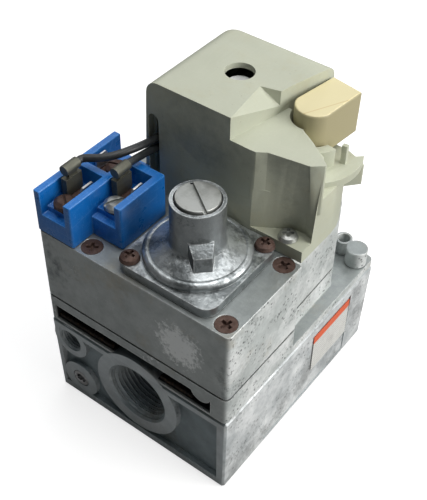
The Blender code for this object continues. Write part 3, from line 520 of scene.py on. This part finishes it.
def shade_front(n, tone, front_shade_colour, grime):
    """Painted shade on the front faces, in patches and darkest towards the foot, and a few grimy patches all
    over.
    """
    height = n.maths('ADD', n.axis(n.place(), "Z"), n.times(n.noise(90.0), 0.03))
    low = n.times(n.reach(height, *FRONT_SHADE_HEIGHTS, 1.0, 0.0), 0.6)
    # Painted shade: only on the faces that look to the front.
    front_shade_mask = n.times(n.maths('MAXIMUM', low, n.patches(40.0, 0.46, 0.66)), n.reach(n.facing("Y"), -0.4, -0.9))
    tone = n.blend(n.times(front_shade_mask, 0.45), tone, front_shade_colour)
    return n.blend(n.times(n.patches(58.0, 0.57, 0.70), 0.35), tone, grime)


def grooved(n, base, line, grime):
    """Painted light on the faces that look up and painted shade on the others, with a groove along a line."""
    (start_x, start_y), (run_x, run_y) = line
    across = n.add("ShaderNodeVectorMath", operation='DOT_PRODUCT')
    n.feed(across.inputs[0], n.place(offset=(-start_x, -start_y, 0.0)))
    across.inputs[1].default_value = (run_y, -run_x, 0.0)
    away = n.maths('ABSOLUTE', across.outputs["Value"])
    groove = n.times(n.reach(away, 0.00012, 0.00030, 1.0, 0.0), n.reach(n.facing("Z"), 0.6, 0.9))
    # Lit and shaded copies of the base colour: painted light on top, painted shade on the sides.
    tone = n.blend(n.reach(n.facing("Z"), 0.3, 0.8), scaled(base, 0.62), scaled(base, 1.12))
    return n.blend(n.times(groove, 0.75), tone, grime)


def plastic(name, base, grime, rough, scuff, edge_colour, edge_amount, texture=0.25, line=None,
            front_shade_colour=None):
    """Moulded plastic: even colour with faint mottling, grime, scuffs and rubbed edges.

    A line gives a top painted light and sides painted shade, with a groove along it, in place of the
    mottling and grime. A front shade colour is the colour of the painted shade on the front faces.
    """
    made, n, shader = start(name)
    if line:
        tone = grooved(n, base, line, grime)
    else:
        tone = n.blend(n.noise(45.0, 3.0, 0.5), scaled(base, 0.90), scaled(base, 1.07))
        tone = n.blend(n.times(n.patches(24.0, 0.55, 0.78), 0.45), tone, grime)
        if front_shade_colour:
            tone = shade_front(n, tone, front_shade_colour, grime)
        specks = n.reach(n.noise(700.0, 2.0, 0.5), 0.72, 0.78)
        tone = n.blend(n.times(specks, 0.35), tone, scaled(grime, 0.4))
        tone = n.blend(n.scratches(30.0, scuff), tone, edge_colour)
        tone = n.blend(n.wear(0.0009, edge_amount, 300.0), tone, edge_colour)
    n.feed(shader["Base Color"], tone)
    n.feed(shader["Roughness"], n.reach(n.noise(120.0, 4.0, 0.6), 0.3, 0.7, rough - 0.06, rough + 0.10))
    n.feed(shader["Normal"], n.bump(n.noise(1800.0, 3.0, 0.6), texture, 0.00008))
    return made


def rusted(name, rust):
    """Rusty steel: dark brown with lighter flakes and a rough crust, and painted shade, near black, low on
    the shank.
    """
    made, n, shader = start(name)
    tone = n.blend(n.noise(700.0, 6.0, 0.7), scaled(rust, 0.45),
                   scaled(rust, 2.1))
    bare = n.wear(0.0004, 0.30, 900.0)
    tone = n.blend(bare, tone, (0.26, 0.21, 0.19))
    # Below a height the shank is painted near black: painted shade low on the shank.
    shank_shade = n.reach(n.axis(n.place(), "Z"), *SHANK_SHADE_HEIGHTS, 1.0, 0.0)
    tone = n.blend(shank_shade, tone, (0.012, 0.010, 0.009))
    n.feed(shader["Base Color"], tone)
    n.feed(shader["Metallic"], n.reach(n.noise(500.0), 0.4, 0.6, 0.25, 0.65))
    n.feed(shader["Roughness"], n.reach(n.noise(420.0), 0.3, 0.7, 0.45, 0.75))
    n.feed(shader["Normal"], n.bump(n.noise(1600.0, 5.0, 0.7), 0.6, 0.00012))
    return made


def plated(name, colour, dull, metallic, low, high, tarnish=0.5):
    """Plated or bare metal with tarnish in patches and fine turning marks."""
    made, n, shader = start(name)
    film = n.patches(140.0, 0.5, 0.66)
    tone = n.blend(n.times(film, tarnish), colour, dull)
    bare = n.wear(0.0003, 0.6, 900.0)
    tone = n.blend(bare, tone, tuple(min(1.0, c * 1.4 + 0.1) for c in colour))
    n.feed(shader["Base Color"], tone)
    shader["Metallic"].default_value = metallic
    n.feed(shader["Roughness"], n.reach(n.noise(380.0, 4.0, 0.6), 0.3, 0.7, low, high))
    n.feed(shader["Normal"], n.bump(n.noise(1500.0, 4.0, 0.6), 0.3, 0.00006))
    return made


def tinned_strip(name, rust):
    """Tin-plated strip: bright blades that turn rusty brown towards the foot under the screw."""
    made, n, shader = start(name)
    height = n.maths('ADD', n.axis(n.place(), "Z"), n.times(n.noise(500.0), 0.0016))
    foot = n.reach(height, *RUST_HEIGHTS, 1.0, 0.0)
    silver = n.blend(n.noise(700.0, 5.0, 0.7), (0.50, 0.50, 0.48), (0.80, 0.80, 0.78))
    brown = n.blend(n.noise(900.0, 5.0, 0.7), scaled(rust, 0.5), scaled(rust, 2.2))
    n.feed(shader["Base Color"], n.blend(foot, silver, brown))
    n.feed(shader["Metallic"], n.reach(foot, 0.0, 1.0, 0.9, 0.3))
    n.feed(shader["Roughness"], n.reach(foot, 0.0, 1.0, 0.3, 0.7))
    n.feed(shader["Normal"], n.bump(n.noise(1500.0, 4.0, 0.6), 0.3, 0.00006))
    return made


def fibre(name, light, dark, scale=900.0):
    """Compressed fibre or granular packing: brown crumbs with dark gaps."""
    made, n, shader = start(name)
    crumbs = n.cells(scale)
    tone = n.blend(n.reach(crumbs, 0.1, 0.6), light, dark)
    tone = n.blend(n.reach(n.noise(300.0, 5.0, 0.7), 0.4, 0.6), tone, scaled(dark, 0.35))
    n.feed(shader["Base Color"], tone)
    shader["Roughness"].default_value = 0.9
    n.feed(shader["Normal"], n.bump(crumbs, 0.8, 0.0004))
    return made


def insulation(name):
    """Black wire insulation: satin, with dust on its upper side and fine lengthwise marks."""
    made, n, shader = start(name)
    dust = n.times(n.reach(n.facing("Z"), 0.2, 1.0), n.reach(n.noise(500.0, 5.0, 0.7), 0.4, 0.7))
    n.feed(shader["Base Color"], n.blend(n.times(dust, 0.35), (0.018, 0.020, 0.022),
                                         (0.11, 0.12, 0.12)))
    n.feed(shader["Roughness"], n.reach(dust, 0.0, 1.0, 0.36, 0.6))
    n.feed(shader["Normal"], n.bump(n.noise(900.0, 3.0, 0.6), 0.15, 0.0001))
    return made


def label_film(name, band):
    """Blank label: white film with a coloured band along its top and thin grey rules below."""
    made, n, shader = start(name)
    height = n.axis(n.place(), "Z")
    low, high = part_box("label_plate")[0].z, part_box("label_plate")[1].z
    top = n.reach(height, high - LABEL_BAND, high - LABEL_BAND + 0.0003)
    film = n.blend(n.noise(300.0, 5.0, 0.6), (0.62, 0.62, 0.58), (0.80, 0.80, 0.77))
    rows = n.maths('FRACT', n.times(n.maths('SUBTRACT', height, low), 1.0 / LABEL_ROW))
    rule = n.times(n.reach(rows, 0.55, 0.62), n.reach(n.noise(1900.0, 3.0, 0.7), 0.44, 0.5))
    film = n.blend(n.times(rule, 0.45), film, (0.25, 0.25, 0.25))
    tone = n.blend(top, film, band)
    worn = n.patches(120.0, 0.55, 0.68)
    n.feed(shader["Base Color"], n.blend(n.times(worn, 0.5), tone, (0.36, 0.36, 0.34)))
    shader["Roughness"].default_value = 0.42
    n.feed(shader["Normal"], n.bump(n.noise(800.0), 0.2, 0.00006))
    return made


def make_finishes(colours):
    GROUPS["edges"] = edge_wear_group()
    GROUPS["patches"] = cloud_group()
    GROUPS["grain"] = grain_group()
    GROUPS["scratches"] = scratch_group()
    light, dark = tuple(colours.cast_light), tuple(colours.cast_dark)
    stain, rust = tuple(colours.stain), tuple(colours.rust)
    FINISHES["die_cast"] = cast_metal("Die-cast alloy", light, dark, stain)
    FINISHES["regulator"] = polished_casting("Polished casting", dark)
    FINISHES["dark_cast"] = machined_face("Dark lower casting", dark, stain)
    FINISHES["gasket"] = fibre("Fibre gasket", (0.12, 0.07, 0.03), (0.02, 0.014, 0.01))
    FINISHES["zinc"] = plated("Dull plated metal", (0.46, 0.47, 0.45), (0.24, 0.25, 0.23), 0.85, 0.28, 0.5)
    FINISHES["steel"] = plated("Bright steel", (0.56, 0.56, 0.56), (0.28, 0.26, 0.24), 1.0, 0.2, 0.42)
    FINISHES["pale_core"] = plated("Pale plated core", (0.86, 0.87, 0.87), (0.62, 0.63, 0.62), 0.15, 0.3, 0.5)
    FINISHES["rusty_steel"] = rusted("Rusted steel", rust)
    FINISHES["brass"] = plated("Tarnished brass", (0.42, 0.30, 0.13), (0.10, 0.055, 0.03), 0.9, 0.3, 0.6, 0.9)
    FINISHES["tinned_strip"] = tinned_strip("Tin-plated strip", rust)
    FINISHES["tin"] = plated("Dull tinned brass", (0.15, 0.15, 0.12), (0.07, 0.065, 0.05), 0.7, 0.4, 0.65)
    FINISHES["black_rubber"] = plastic("Black rubber", (0.02, 0.02, 0.02), (0.05, 0.05, 0.04), 0.6, 0.2,
                                       (0.06, 0.06, 0.06), 0.3)
    FINISHES["diaphragm"] = fibre("Coated fabric", (0.05, 0.05, 0.05), (0.02, 0.02, 0.02), 1400.0)
    FINISHES["wire_rubber"] = insulation("Wire insulation")
    FINISHES["blue_plastic"] = plastic("Blue moulding", tuple(colours.blue), (0.02, 0.06, 0.18), 0.30, 0.25,
                                       (0.18, 0.44, 0.86), 1.0, 0.15)
    # The beige cover gets painted shade on its front faces.
    FINISHES["beige_plastic"] = plastic("Beige moulding", tuple(colours.cover), (0.47, 0.44, 0.28), 0.46, 0.1,
                                        (0.68, 0.70, 0.58), 0.35, front_shade_colour=(0.10, 0.10, 0.08))
    FINISHES["tan_plastic"] = plastic("Cream moulding", tuple(colours.knob), (0.62, 0.48, 0.22), 0.42, 0.1,
                                      (0.80, 0.73, 0.50), 0.35, line=KNOB_LINE)
    FINISHES["white_plastic"] = plastic("White moulding", (0.72, 0.72, 0.68), (0.5, 0.47, 0.38), 0.45, 0.1,
                                        (0.8, 0.8, 0.78), 0.2)
    FINISHES["copper"] = plated("Enamelled copper", (0.42, 0.16, 0.07), (0.20, 0.07, 0.03), 0.8, 0.3, 0.5)
    FINISHES["label"] = label_film("Label film", tuple(colours.band))


# Mesh helpers

def smooth(mesh, angle):
    mesh.shade_smooth()
    mesh.set_sharp_from_angle(angle=math.radians(angle))


def finish_piece(piece, body, slot_name, *nodes):
    bpy.context.scene.collection.objects.link(piece)
    piece.data.materials.clear()
    piece.data.materials.append(FINISHES[slot_name])
    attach(piece, body)
    if nodes:
        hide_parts(*nodes)
    return piece


def edged(node, width, segments, angle=28.0):
    """A copy of a solid with its corners merged and its edges rounded, in the solid's place."""
    mesh = frame["nodes"][node].data.copy()
    mesh.name = node + "_skin"
    bm = bmesh.new()
    bm.from_mesh(mesh)
    bmesh.ops.remove_doubles(bm, verts=bm.verts, dist=0.000002)
    bmesh.ops.dissolve_limit(bm, angle_limit=math.radians(0.5), verts=bm.verts, edges=bm.edges,
                             delimit={'NORMAL'})
    bm.to_mesh(mesh)
    bm.free()
    piece = bpy.data.objects.new(node + "_skin", mesh)
    finish_piece(piece, BODY_OF[node], SLOT_OF[node], node)
    rounding = piece.modifiers.new("Rounded edges", 'BEVEL')
    rounding.width = width
    rounding.segments = segments
    rounding.limit_method = 'ANGLE'
    rounding.angle_limit = math.radians(angle)
    rounding.use_clamp_overlap = True
    rounding.harden_normals = False
    smooth(mesh, 40.0)
    return piece


def grid_mesh(name, points, closed_u=False, closed_v=False):
    """A mesh through a grid of points, rows along the first index and columns along the second."""
    rows, columns = points.shape[:2]
    index = np.arange(rows * columns).reshape(rows, columns)
    if closed_u:
        index = np.vstack((index, index[:1]))
    if closed_v:
        index = np.hstack((index, index[:, :1]))
    faces = np.stack((index[:-1, :-1], index[1:, :-1], index[1:, 1:], index[:-1, 1:]), axis=-1)
    mesh = bpy.data.meshes.new(name)
    mesh.from_pydata(points.reshape(-1, 3), [], faces.reshape(-1, 4).tolist())
    mesh.update()
    return mesh


# Surfaces

def thread_surface(name, centre, radius, start, depth, pitch, height):
    """The threaded wall of a socket that runs along Y.

    At angle a, the wall's radius is the bore less a triangular ridge, whose phase grows with the
    depth over the pitch plus the angle over a full turn. The bore tapers by 3% over its depth,
    and the ridge fades out at both ends.
    """
    around = 96
    along = int(abs(depth) / pitch * 8) + 1
    angle = np.linspace(0.0, 2.0 * math.pi, around, endpoint=False)
    place = np.linspace(0.0, 1.0, along)
    a, t = np.meshgrid(angle, place)
    phase = np.mod(t * abs(depth) / pitch + a / (2.0 * math.pi), 1.0)
    ridge = 1.0 - np.abs(2.0 * phase - 1.0)
    fade = np.clip(t * 12.0, 0.0, 1.0) * np.clip((1.0 - t) * 12.0, 0.0, 1.0)
    taper = 1.0 - 0.03 * t
    inner = radius * taper - height * ridge * fade
    along_y = start + depth * t
    shape = np.stack((centre[0] + inner * np.cos(a), along_y, centre[1] + inner * np.sin(a)), axis=-1)
    return grid_mesh(name, shape, closed_v=True)


def face_inwards(mesh, centre):
    """Turns the faces of a tube round so that they look at its middle line, which runs along Y."""
    bm = bmesh.new()
    bm.from_mesh(mesh)
    outward = 0
    for face in bm.faces:
        middle = face.calc_center_median()
        outward += face.normal.dot(middle - Vector((centre[0], middle.y, centre[1]))) > 0
    if outward > len(bm.faces) / 2:
        bmesh.ops.reverse_faces(bm, faces=bm.faces)
    bm.to_mesh(mesh)
    bm.free()


def crumb_strip(name, low, high):
    """A closed lumpy bar of packing that fills a box.

    Its section is a superellipse of power four, and its size wavers along and around the bar by
    the sum of four sines of different pitch.
    """
    along = np.linspace(0.0, 1.0, int((high[0] - low[0]) / 0.00035))
    around = np.linspace(0.0, 2.0 * math.pi, 28, endpoint=False)
    t, a = np.meshgrid(along, around, indexing='ij')
    x = low[0] + (high[0] - low[0]) * t
    lumps = (np.sin(x * 5100.0 + 3.0 * a) + np.sin(x * 8300.0 - 5.0 * a) + np.sin(x * 2900.0 + 2.0 * a)
             + np.sin(x * 12700.0 + 7.0 * a)) / 4.0
    size = (1.0 - 0.16 * (1.0 + lumps)) * np.sqrt(np.clip(np.minimum(t, 1.0 - t) * 60.0, 0.02, 1.0))
    square = (np.abs(np.cos(a)) ** 4 + np.abs(np.sin(a)) ** 4) ** -0.25
    half_y, half_z = (high[1] - low[1]) / 2.0, (high[2] - low[2]) / 2.0
    points = np.stack((x, low[1] + half_y + half_y * size * square * np.cos(a),
                       low[2] + half_z + half_z * size * square * np.sin(a)), axis=-1)
    return capped(grid_mesh(name, points, closed_v=True))


def capped(mesh):
    """Closes a mesh's open ends and points its faces outwards."""
    bm = bmesh.new()
    bm.from_mesh(mesh)
    bmesh.ops.holes_fill(bm, edges=[edge for edge in bm.edges if edge.is_boundary], sides=0)
    bmesh.ops.recalc_face_normals(bm, faces=bm.faces)
    bm.to_mesh(mesh)
    bm.free()
    return mesh


def tube_mesh(name, path, radius, sides=14):
    """A round tube: at each point of the path a circle in the plane of two vectors square to it."""
    tangent = np.gradient(path, axis=0)
    tangent /= np.linalg.norm(tangent, axis=1)[:, None]
    side = np.cross(tangent, np.array([0.0, 0.0, 1.0]))
    side /= np.linalg.norm(side, axis=1)[:, None]
    up = np.cross(side, tangent)
    angle = np.linspace(0.0, 2.0 * math.pi, sides, endpoint=False)
    ring = (path[:, None, :] + radius * (np.cos(angle)[None, :, None] * side[:, None, :]
                                         + np.sin(angle)[None, :, None] * up[:, None, :]))
    return capped(grid_mesh(name, ring, closed_v=True))


def ring_mesh(name, centre, radius, thickness, height):
    """A torus: a small circle carried round a large one about a vertical axis."""
    around = np.linspace(0.0, 2.0 * math.pi, 96, endpoint=False)
    across = np.linspace(0.0, 2.0 * math.pi, 24, endpoint=False)
    a, b = np.meshgrid(around, across, indexing='ij')
    reach = radius + thickness * np.cos(b)
    points = np.stack((centre[0] + reach * np.cos(a), centre[1] + reach * np.sin(a),
                       height + thickness * np.sin(b)), axis=-1)
    return capped(grid_mesh(name, points, closed_u=True, closed_v=True))


def through(points, count):
    """Points spaced along a Catmull-Rom curve: each span blends its four nearest points by cubics."""
    knots = np.array(points, float)
    ends = np.vstack((2 * knots[0] - knots[1], knots, 2 * knots[-1] - knots[-2]))
    u = np.linspace(0.0, len(knots) - 1.0, count)
    i = np.minimum(u.astype(int), len(knots) - 2)
    t = (u - i)[:, None]
    a, b, c, d = ends[i], ends[i + 1], ends[i + 2], ends[i + 3]
    return 0.5 * (2 * b + (c - a) * t + (2 * a - 5 * b + 4 * c - d) * t ** 2
                  + (3 * b - a - 3 * c + d) * t ** 3)


# Pieces

class GASVALVE_OT_castings(bpy.types.Operator):
    """Rounded skins for the stacked castings"""
    bl_idname = "gasvalve.castings"
    bl_label = "Castings"

    def execute(self, context):
        sizes = context.scene.gas_valve_sizes
        for node in ("base_casting", "mid_casting", "upper_body"):
            edged(node, sizes.casting_edge, sizes.edge_segments)
        front, back = PACKING_DEPTH
        floor = SLOT_LOW[2] + 0.0001
        for side, left, right in PACKING_SPANS:
            name = f"slot_packing_{side}"
            mesh = crumb_strip(name, (left, front, floor), (right, back, floor + PACKING_HEIGHT))
            finish_piece(bpy.data.objects.new(name, mesh), BODY_OF["mid_casting"], "gasket")
            smooth(mesh, 60.0)
        return {'FINISHED'}


class GASVALVE_OT_threads(bpy.types.Operator):
    """Threaded sleeves in the pipe sockets"""
    bl_idname = "gasvalve.threads"
    bl_label = "Threads"

    def execute(self, context):
        sizes = context.scene.gas_valve_sizes
        low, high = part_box("base_casting")
        pipe = (sizes.thread_pitch, sizes.thread_depth)
        pilot = (PILOT_PITCH, PILOT_THREAD_DEPTH)
        sockets = (
            ("outlet_thread", PIPE_PORT, PIPE_BORE, low.y + 0.0016, PIPE_THREAD_LENGTH, *pipe),
            ("inlet_thread", PIPE_PORT, PIPE_BORE, high.y - 0.0008, -PIPE_THREAD_LENGTH, *pipe),
            ("pilot_thread", PILOT_PORT, PILOT_BORE, low.y + 0.0008, PILOT_THREAD_LENGTH, *pilot))
        for name, centre, *measures in sockets:
            mesh = thread_surface(name, centre, *measures)
            piece = bpy.data.objects.new(name, mesh)
            finish_piece(piece, BODY_OF["base_casting"], "dark_cast")
            face_inwards(mesh, centre)
            wall = piece.modifiers.new("Wall", 'SOLIDIFY')
            wall.thickness = 0.0001
            wall.offset = -1.0
            smooth(mesh, 60.0)
        return {'FINISHED'}


class GASVALVE_OT_regulator(bpy.types.Operator):
    """Regulator housing, cap and screws"""
    bl_idname = "gasvalve.regulator"
    bl_label = "Regulator"

    def execute(self, context):
        sizes = context.scene.gas_valve_sizes
        housing = edged("regulator_housing", sizes.block_edge, sizes.edge_segments, 30.0)
        mesh = ring_mesh("regulator_roll", REGULATOR_AXIS, ROLL_RADIUS, ROLL_THICKNESS, ROLL_HEIGHT)
        roll = bpy.data.objects.new("regulator_roll", mesh)
        finish_piece(roll, BODY_OF["regulator_housing"], "die_cast")
        smooth(mesh, 60.0)
        for piece in (housing, roll):
            piece.data.materials[0] = FINISHES["regulator"]
        edged("regulator_cap", sizes.fine_edge, 2)
        for node in sorted(frame["nodes"]):
            if node.startswith(("body_screw", "regulator_screw", "cover_screw")):
                edged(node, sizes.fine_edge, 2)
        return {'FINISHED'}


class GASVALVE_OT_terminals(bpy.types.Operator):
    """Terminal block, strips, screws, spades and leads"""
    bl_idname = "gasvalve.terminals"
    bl_label = "Terminals"

    def execute(self, context):
        sizes = context.scene.gas_valve_sizes
        edged("terminal_block", sizes.block_edge, sizes.edge_segments)
        for number in (1, 2, 3):
            edged(f"terminal_plate_{number}", sizes.strip_edge, 2)
            edged(f"terminal_screw_{number}", sizes.fine_edge, 2)
        for number, route in enumerate(LEAD_ROUTES, 1):
            edged(f"spade_{number}", sizes.spade_edge, 3)
            path = through(route, 72) * 0.001
            name = f"lead_{number}_skin"
            piece = bpy.data.objects.new(name, tube_mesh(name, path, sizes.lead_diameter / 2))
            finish_piece(piece, BODY_OF[f"lead_{number}"], "wire_rubber", f"lead_{number}")
            smooth(piece.data, 50.0)
        return {'FINISHED'}


class GASVALVE_OT_cover(bpy.types.Operator):
    """Moulded cover over the solenoid"""
    bl_idname = "gasvalve.cover"
    bl_label = "Cover"

    def execute(self, context):
        sizes = context.scene.gas_valve_sizes
        edged("cover", sizes.cover_edge, sizes.edge_segments, 24.0)
        return {'FINISHED'}


class GASVALVE_OT_knob(bpy.types.Operator):
    """Knob lever"""
    bl_idname = "gasvalve.knob"
    bl_label = "Knob"

    def execute(self, context):
        sizes = context.scene.gas_valve_sizes
        edged("knob_lever", sizes.knob_edge, sizes.edge_segments, 40.0)
        return {'FINISHED'}


class GASVALVE_OT_fittings(bpy.types.Operator):
    """Deck fittings, plug, and the finishes of every other piece"""
    bl_idname = "gasvalve.fittings"
    bl_label = "Fittings"

    def execute(self, context):
        sizes = context.scene.gas_valve_sizes
        for node in ("inlet_tap", "outlet_tap", "pilot_fitting", "port_plug"):
            edged(node, sizes.fine_edge, 2)
        edged("core_stop", sizes.fine_edge, 2).data.materials[0] = FINISHES["pale_core"]
        for node, obj in frame["nodes"].items():
            if not obj.hide_render:
                for surface in obj.material_slots:
                    surface.material = FINISHES[SLOT_OF[node]]
        return {'FINISHED'}


def floor_material():
    """Grey to the light, and close to white where the camera looks straight at it."""
    made, n, shader = start("Floor")
    shader["Base Color"].default_value = (0.32, 0.32, 0.32, 1.0)
    shader["Roughness"].default_value = 0.9
    bright = n.add("ShaderNodeBsdfDiffuse")
    bright.inputs["Color"].default_value = (0.5, 0.5, 0.5, 1.0)
    glow = n.add("ShaderNodeEmission")
    glow.inputs["Strength"].default_value = 0.72
    both = n.add("ShaderNodeAddShader")
    n.feed(both.inputs[0], bright.outputs[0])
    n.feed(both.inputs[1], glow.outputs[0])
    seen = n.add("ShaderNodeMixShader")
    n.feed(seen.inputs[0], n.add("ShaderNodeLightPath").outputs["Is Camera Ray"])
    n.feed(seen.inputs[1], made.node_tree.nodes["Principled BSDF"].outputs[0])
    n.feed(seen.inputs[2], both.outputs[0])
    n.feed(made.node_tree.nodes["Material Output"].inputs["Surface"], seen.outputs[0])
    return made


def add_lamp(name, place, width, power, tint):
    lamp = bpy.data.lights.new(name, 'AREA')
    lamp.size = width
    lamp.energy = power
    lamp.color = tint
    holder = bpy.data.objects.new(name, lamp)
    holder.location = place
    holder.rotation_euler = (Vector(LAMP_TARGET) - Vector(place)).to_track_quat('-Z', 'Y').to_euler()
    bpy.context.scene.collection.objects.link(holder)


def add_camera(scene):
    lens = bpy.data.cameras.new("camera")
    lens.sensor_fit = 'HORIZONTAL'
    lens.sensor_width = 36.0
    lens.lens = CAMERA_LENS
    lens.shift_x, lens.shift_y = CAMERA_SHIFT
    lens.clip_start = 0.01
    camera = bpy.data.objects.new("camera", lens)
    camera.location = CAMERA_PLACE
    camera.rotation_euler = Euler([math.radians(angle) for angle in CAMERA_DEGREES])
    scene.collection.objects.link(camera)
    scene.camera = camera


class GASVALVE_OT_stage(bpy.types.Operator):
    """Floor, soft lights and the camera"""
    bl_idname = "gasvalve.stage"
    bl_label = "Stage"

    def execute(self, context):
        scene = context.scene
        scene.view_settings.view_transform = 'Standard'
        across = np.linspace(-FLOOR_HALF, FLOOR_HALF, 3)
        x, y = np.meshgrid(across, across, indexing='ij')
        mesh = grid_mesh("floor", np.stack((x, y, np.full_like(x, FLOOR_HEIGHT)), axis=-1))
        mesh.materials.append(floor_material())
        floor = bpy.data.objects.new("floor", mesh)
        scene.collection.objects.link(floor)
        world = bpy.data.worlds.new("Studio")
        scene.world = world
        world.use_nodes = True
        background = world.node_tree.nodes["Background"].inputs
        background["Color"].default_value = (0.95, 0.98, 1.0, 1.0)
        background["Strength"].default_value = 0.06
        for lamp in LAMPS:
            add_lamp(*lamp)
        add_camera(scene)
        return {'FINISHED'}


class GASVALVE_PT_panel(bpy.types.Panel):
    """Lists the valve's pieces"""
    bl_idname = "GASVALVE_PT_panel"
    bl_label = "Gas Valve"
    bl_space_type = 'VIEW_3D'
    bl_region_type = 'UI'
    bl_category = "Gas Valve"

    def draw(self, context):
        layout = self.layout
        for group in (context.scene.gas_valve_sizes, context.scene.gas_valve_colours):
            column = layout.column()
            for key in group.bl_rna.properties.keys():
                if key not in ("rna_type", "name"):
                    column.prop(group, key)
        for operator in OPERATORS:
            layout.operator(operator.bl_idname)


OPERATORS = (GASVALVE_OT_castings, GASVALVE_OT_threads, GASVALVE_OT_regulator, GASVALVE_OT_terminals,
             GASVALVE_OT_cover, GASVALVE_OT_knob, GASVALVE_OT_fittings, GASVALVE_OT_stage)
CLASSES = (GasValveSizes, GasValveColours) + OPERATORS + (GASVALVE_PT_panel,)


def register():
    for item in CLASSES:
        bpy.utils.register_class(item)
    bpy.types.Scene.gas_valve_sizes = PointerProperty(type=GasValveSizes)
    bpy.types.Scene.gas_valve_colours = PointerProperty(type=GasValveColours)


def unregister():
    del bpy.types.Scene.gas_valve_colours
    del bpy.types.Scene.gas_valve_sizes
    for item in reversed(CLASSES):
        bpy.utils.unregister_class(item)


def main():
    register()
    make_finishes(bpy.context.scene.gas_valve_colours)
    bpy.ops.gasvalve.castings()
    bpy.ops.gasvalve.threads()
    bpy.ops.gasvalve.regulator()
    bpy.ops.gasvalve.terminals()
    bpy.ops.gasvalve.cover()
    bpy.ops.gasvalve.knob()
    bpy.ops.gasvalve.fittings()
    bpy.ops.gasvalve.stage()


if __name__ == "__main__":
    main()
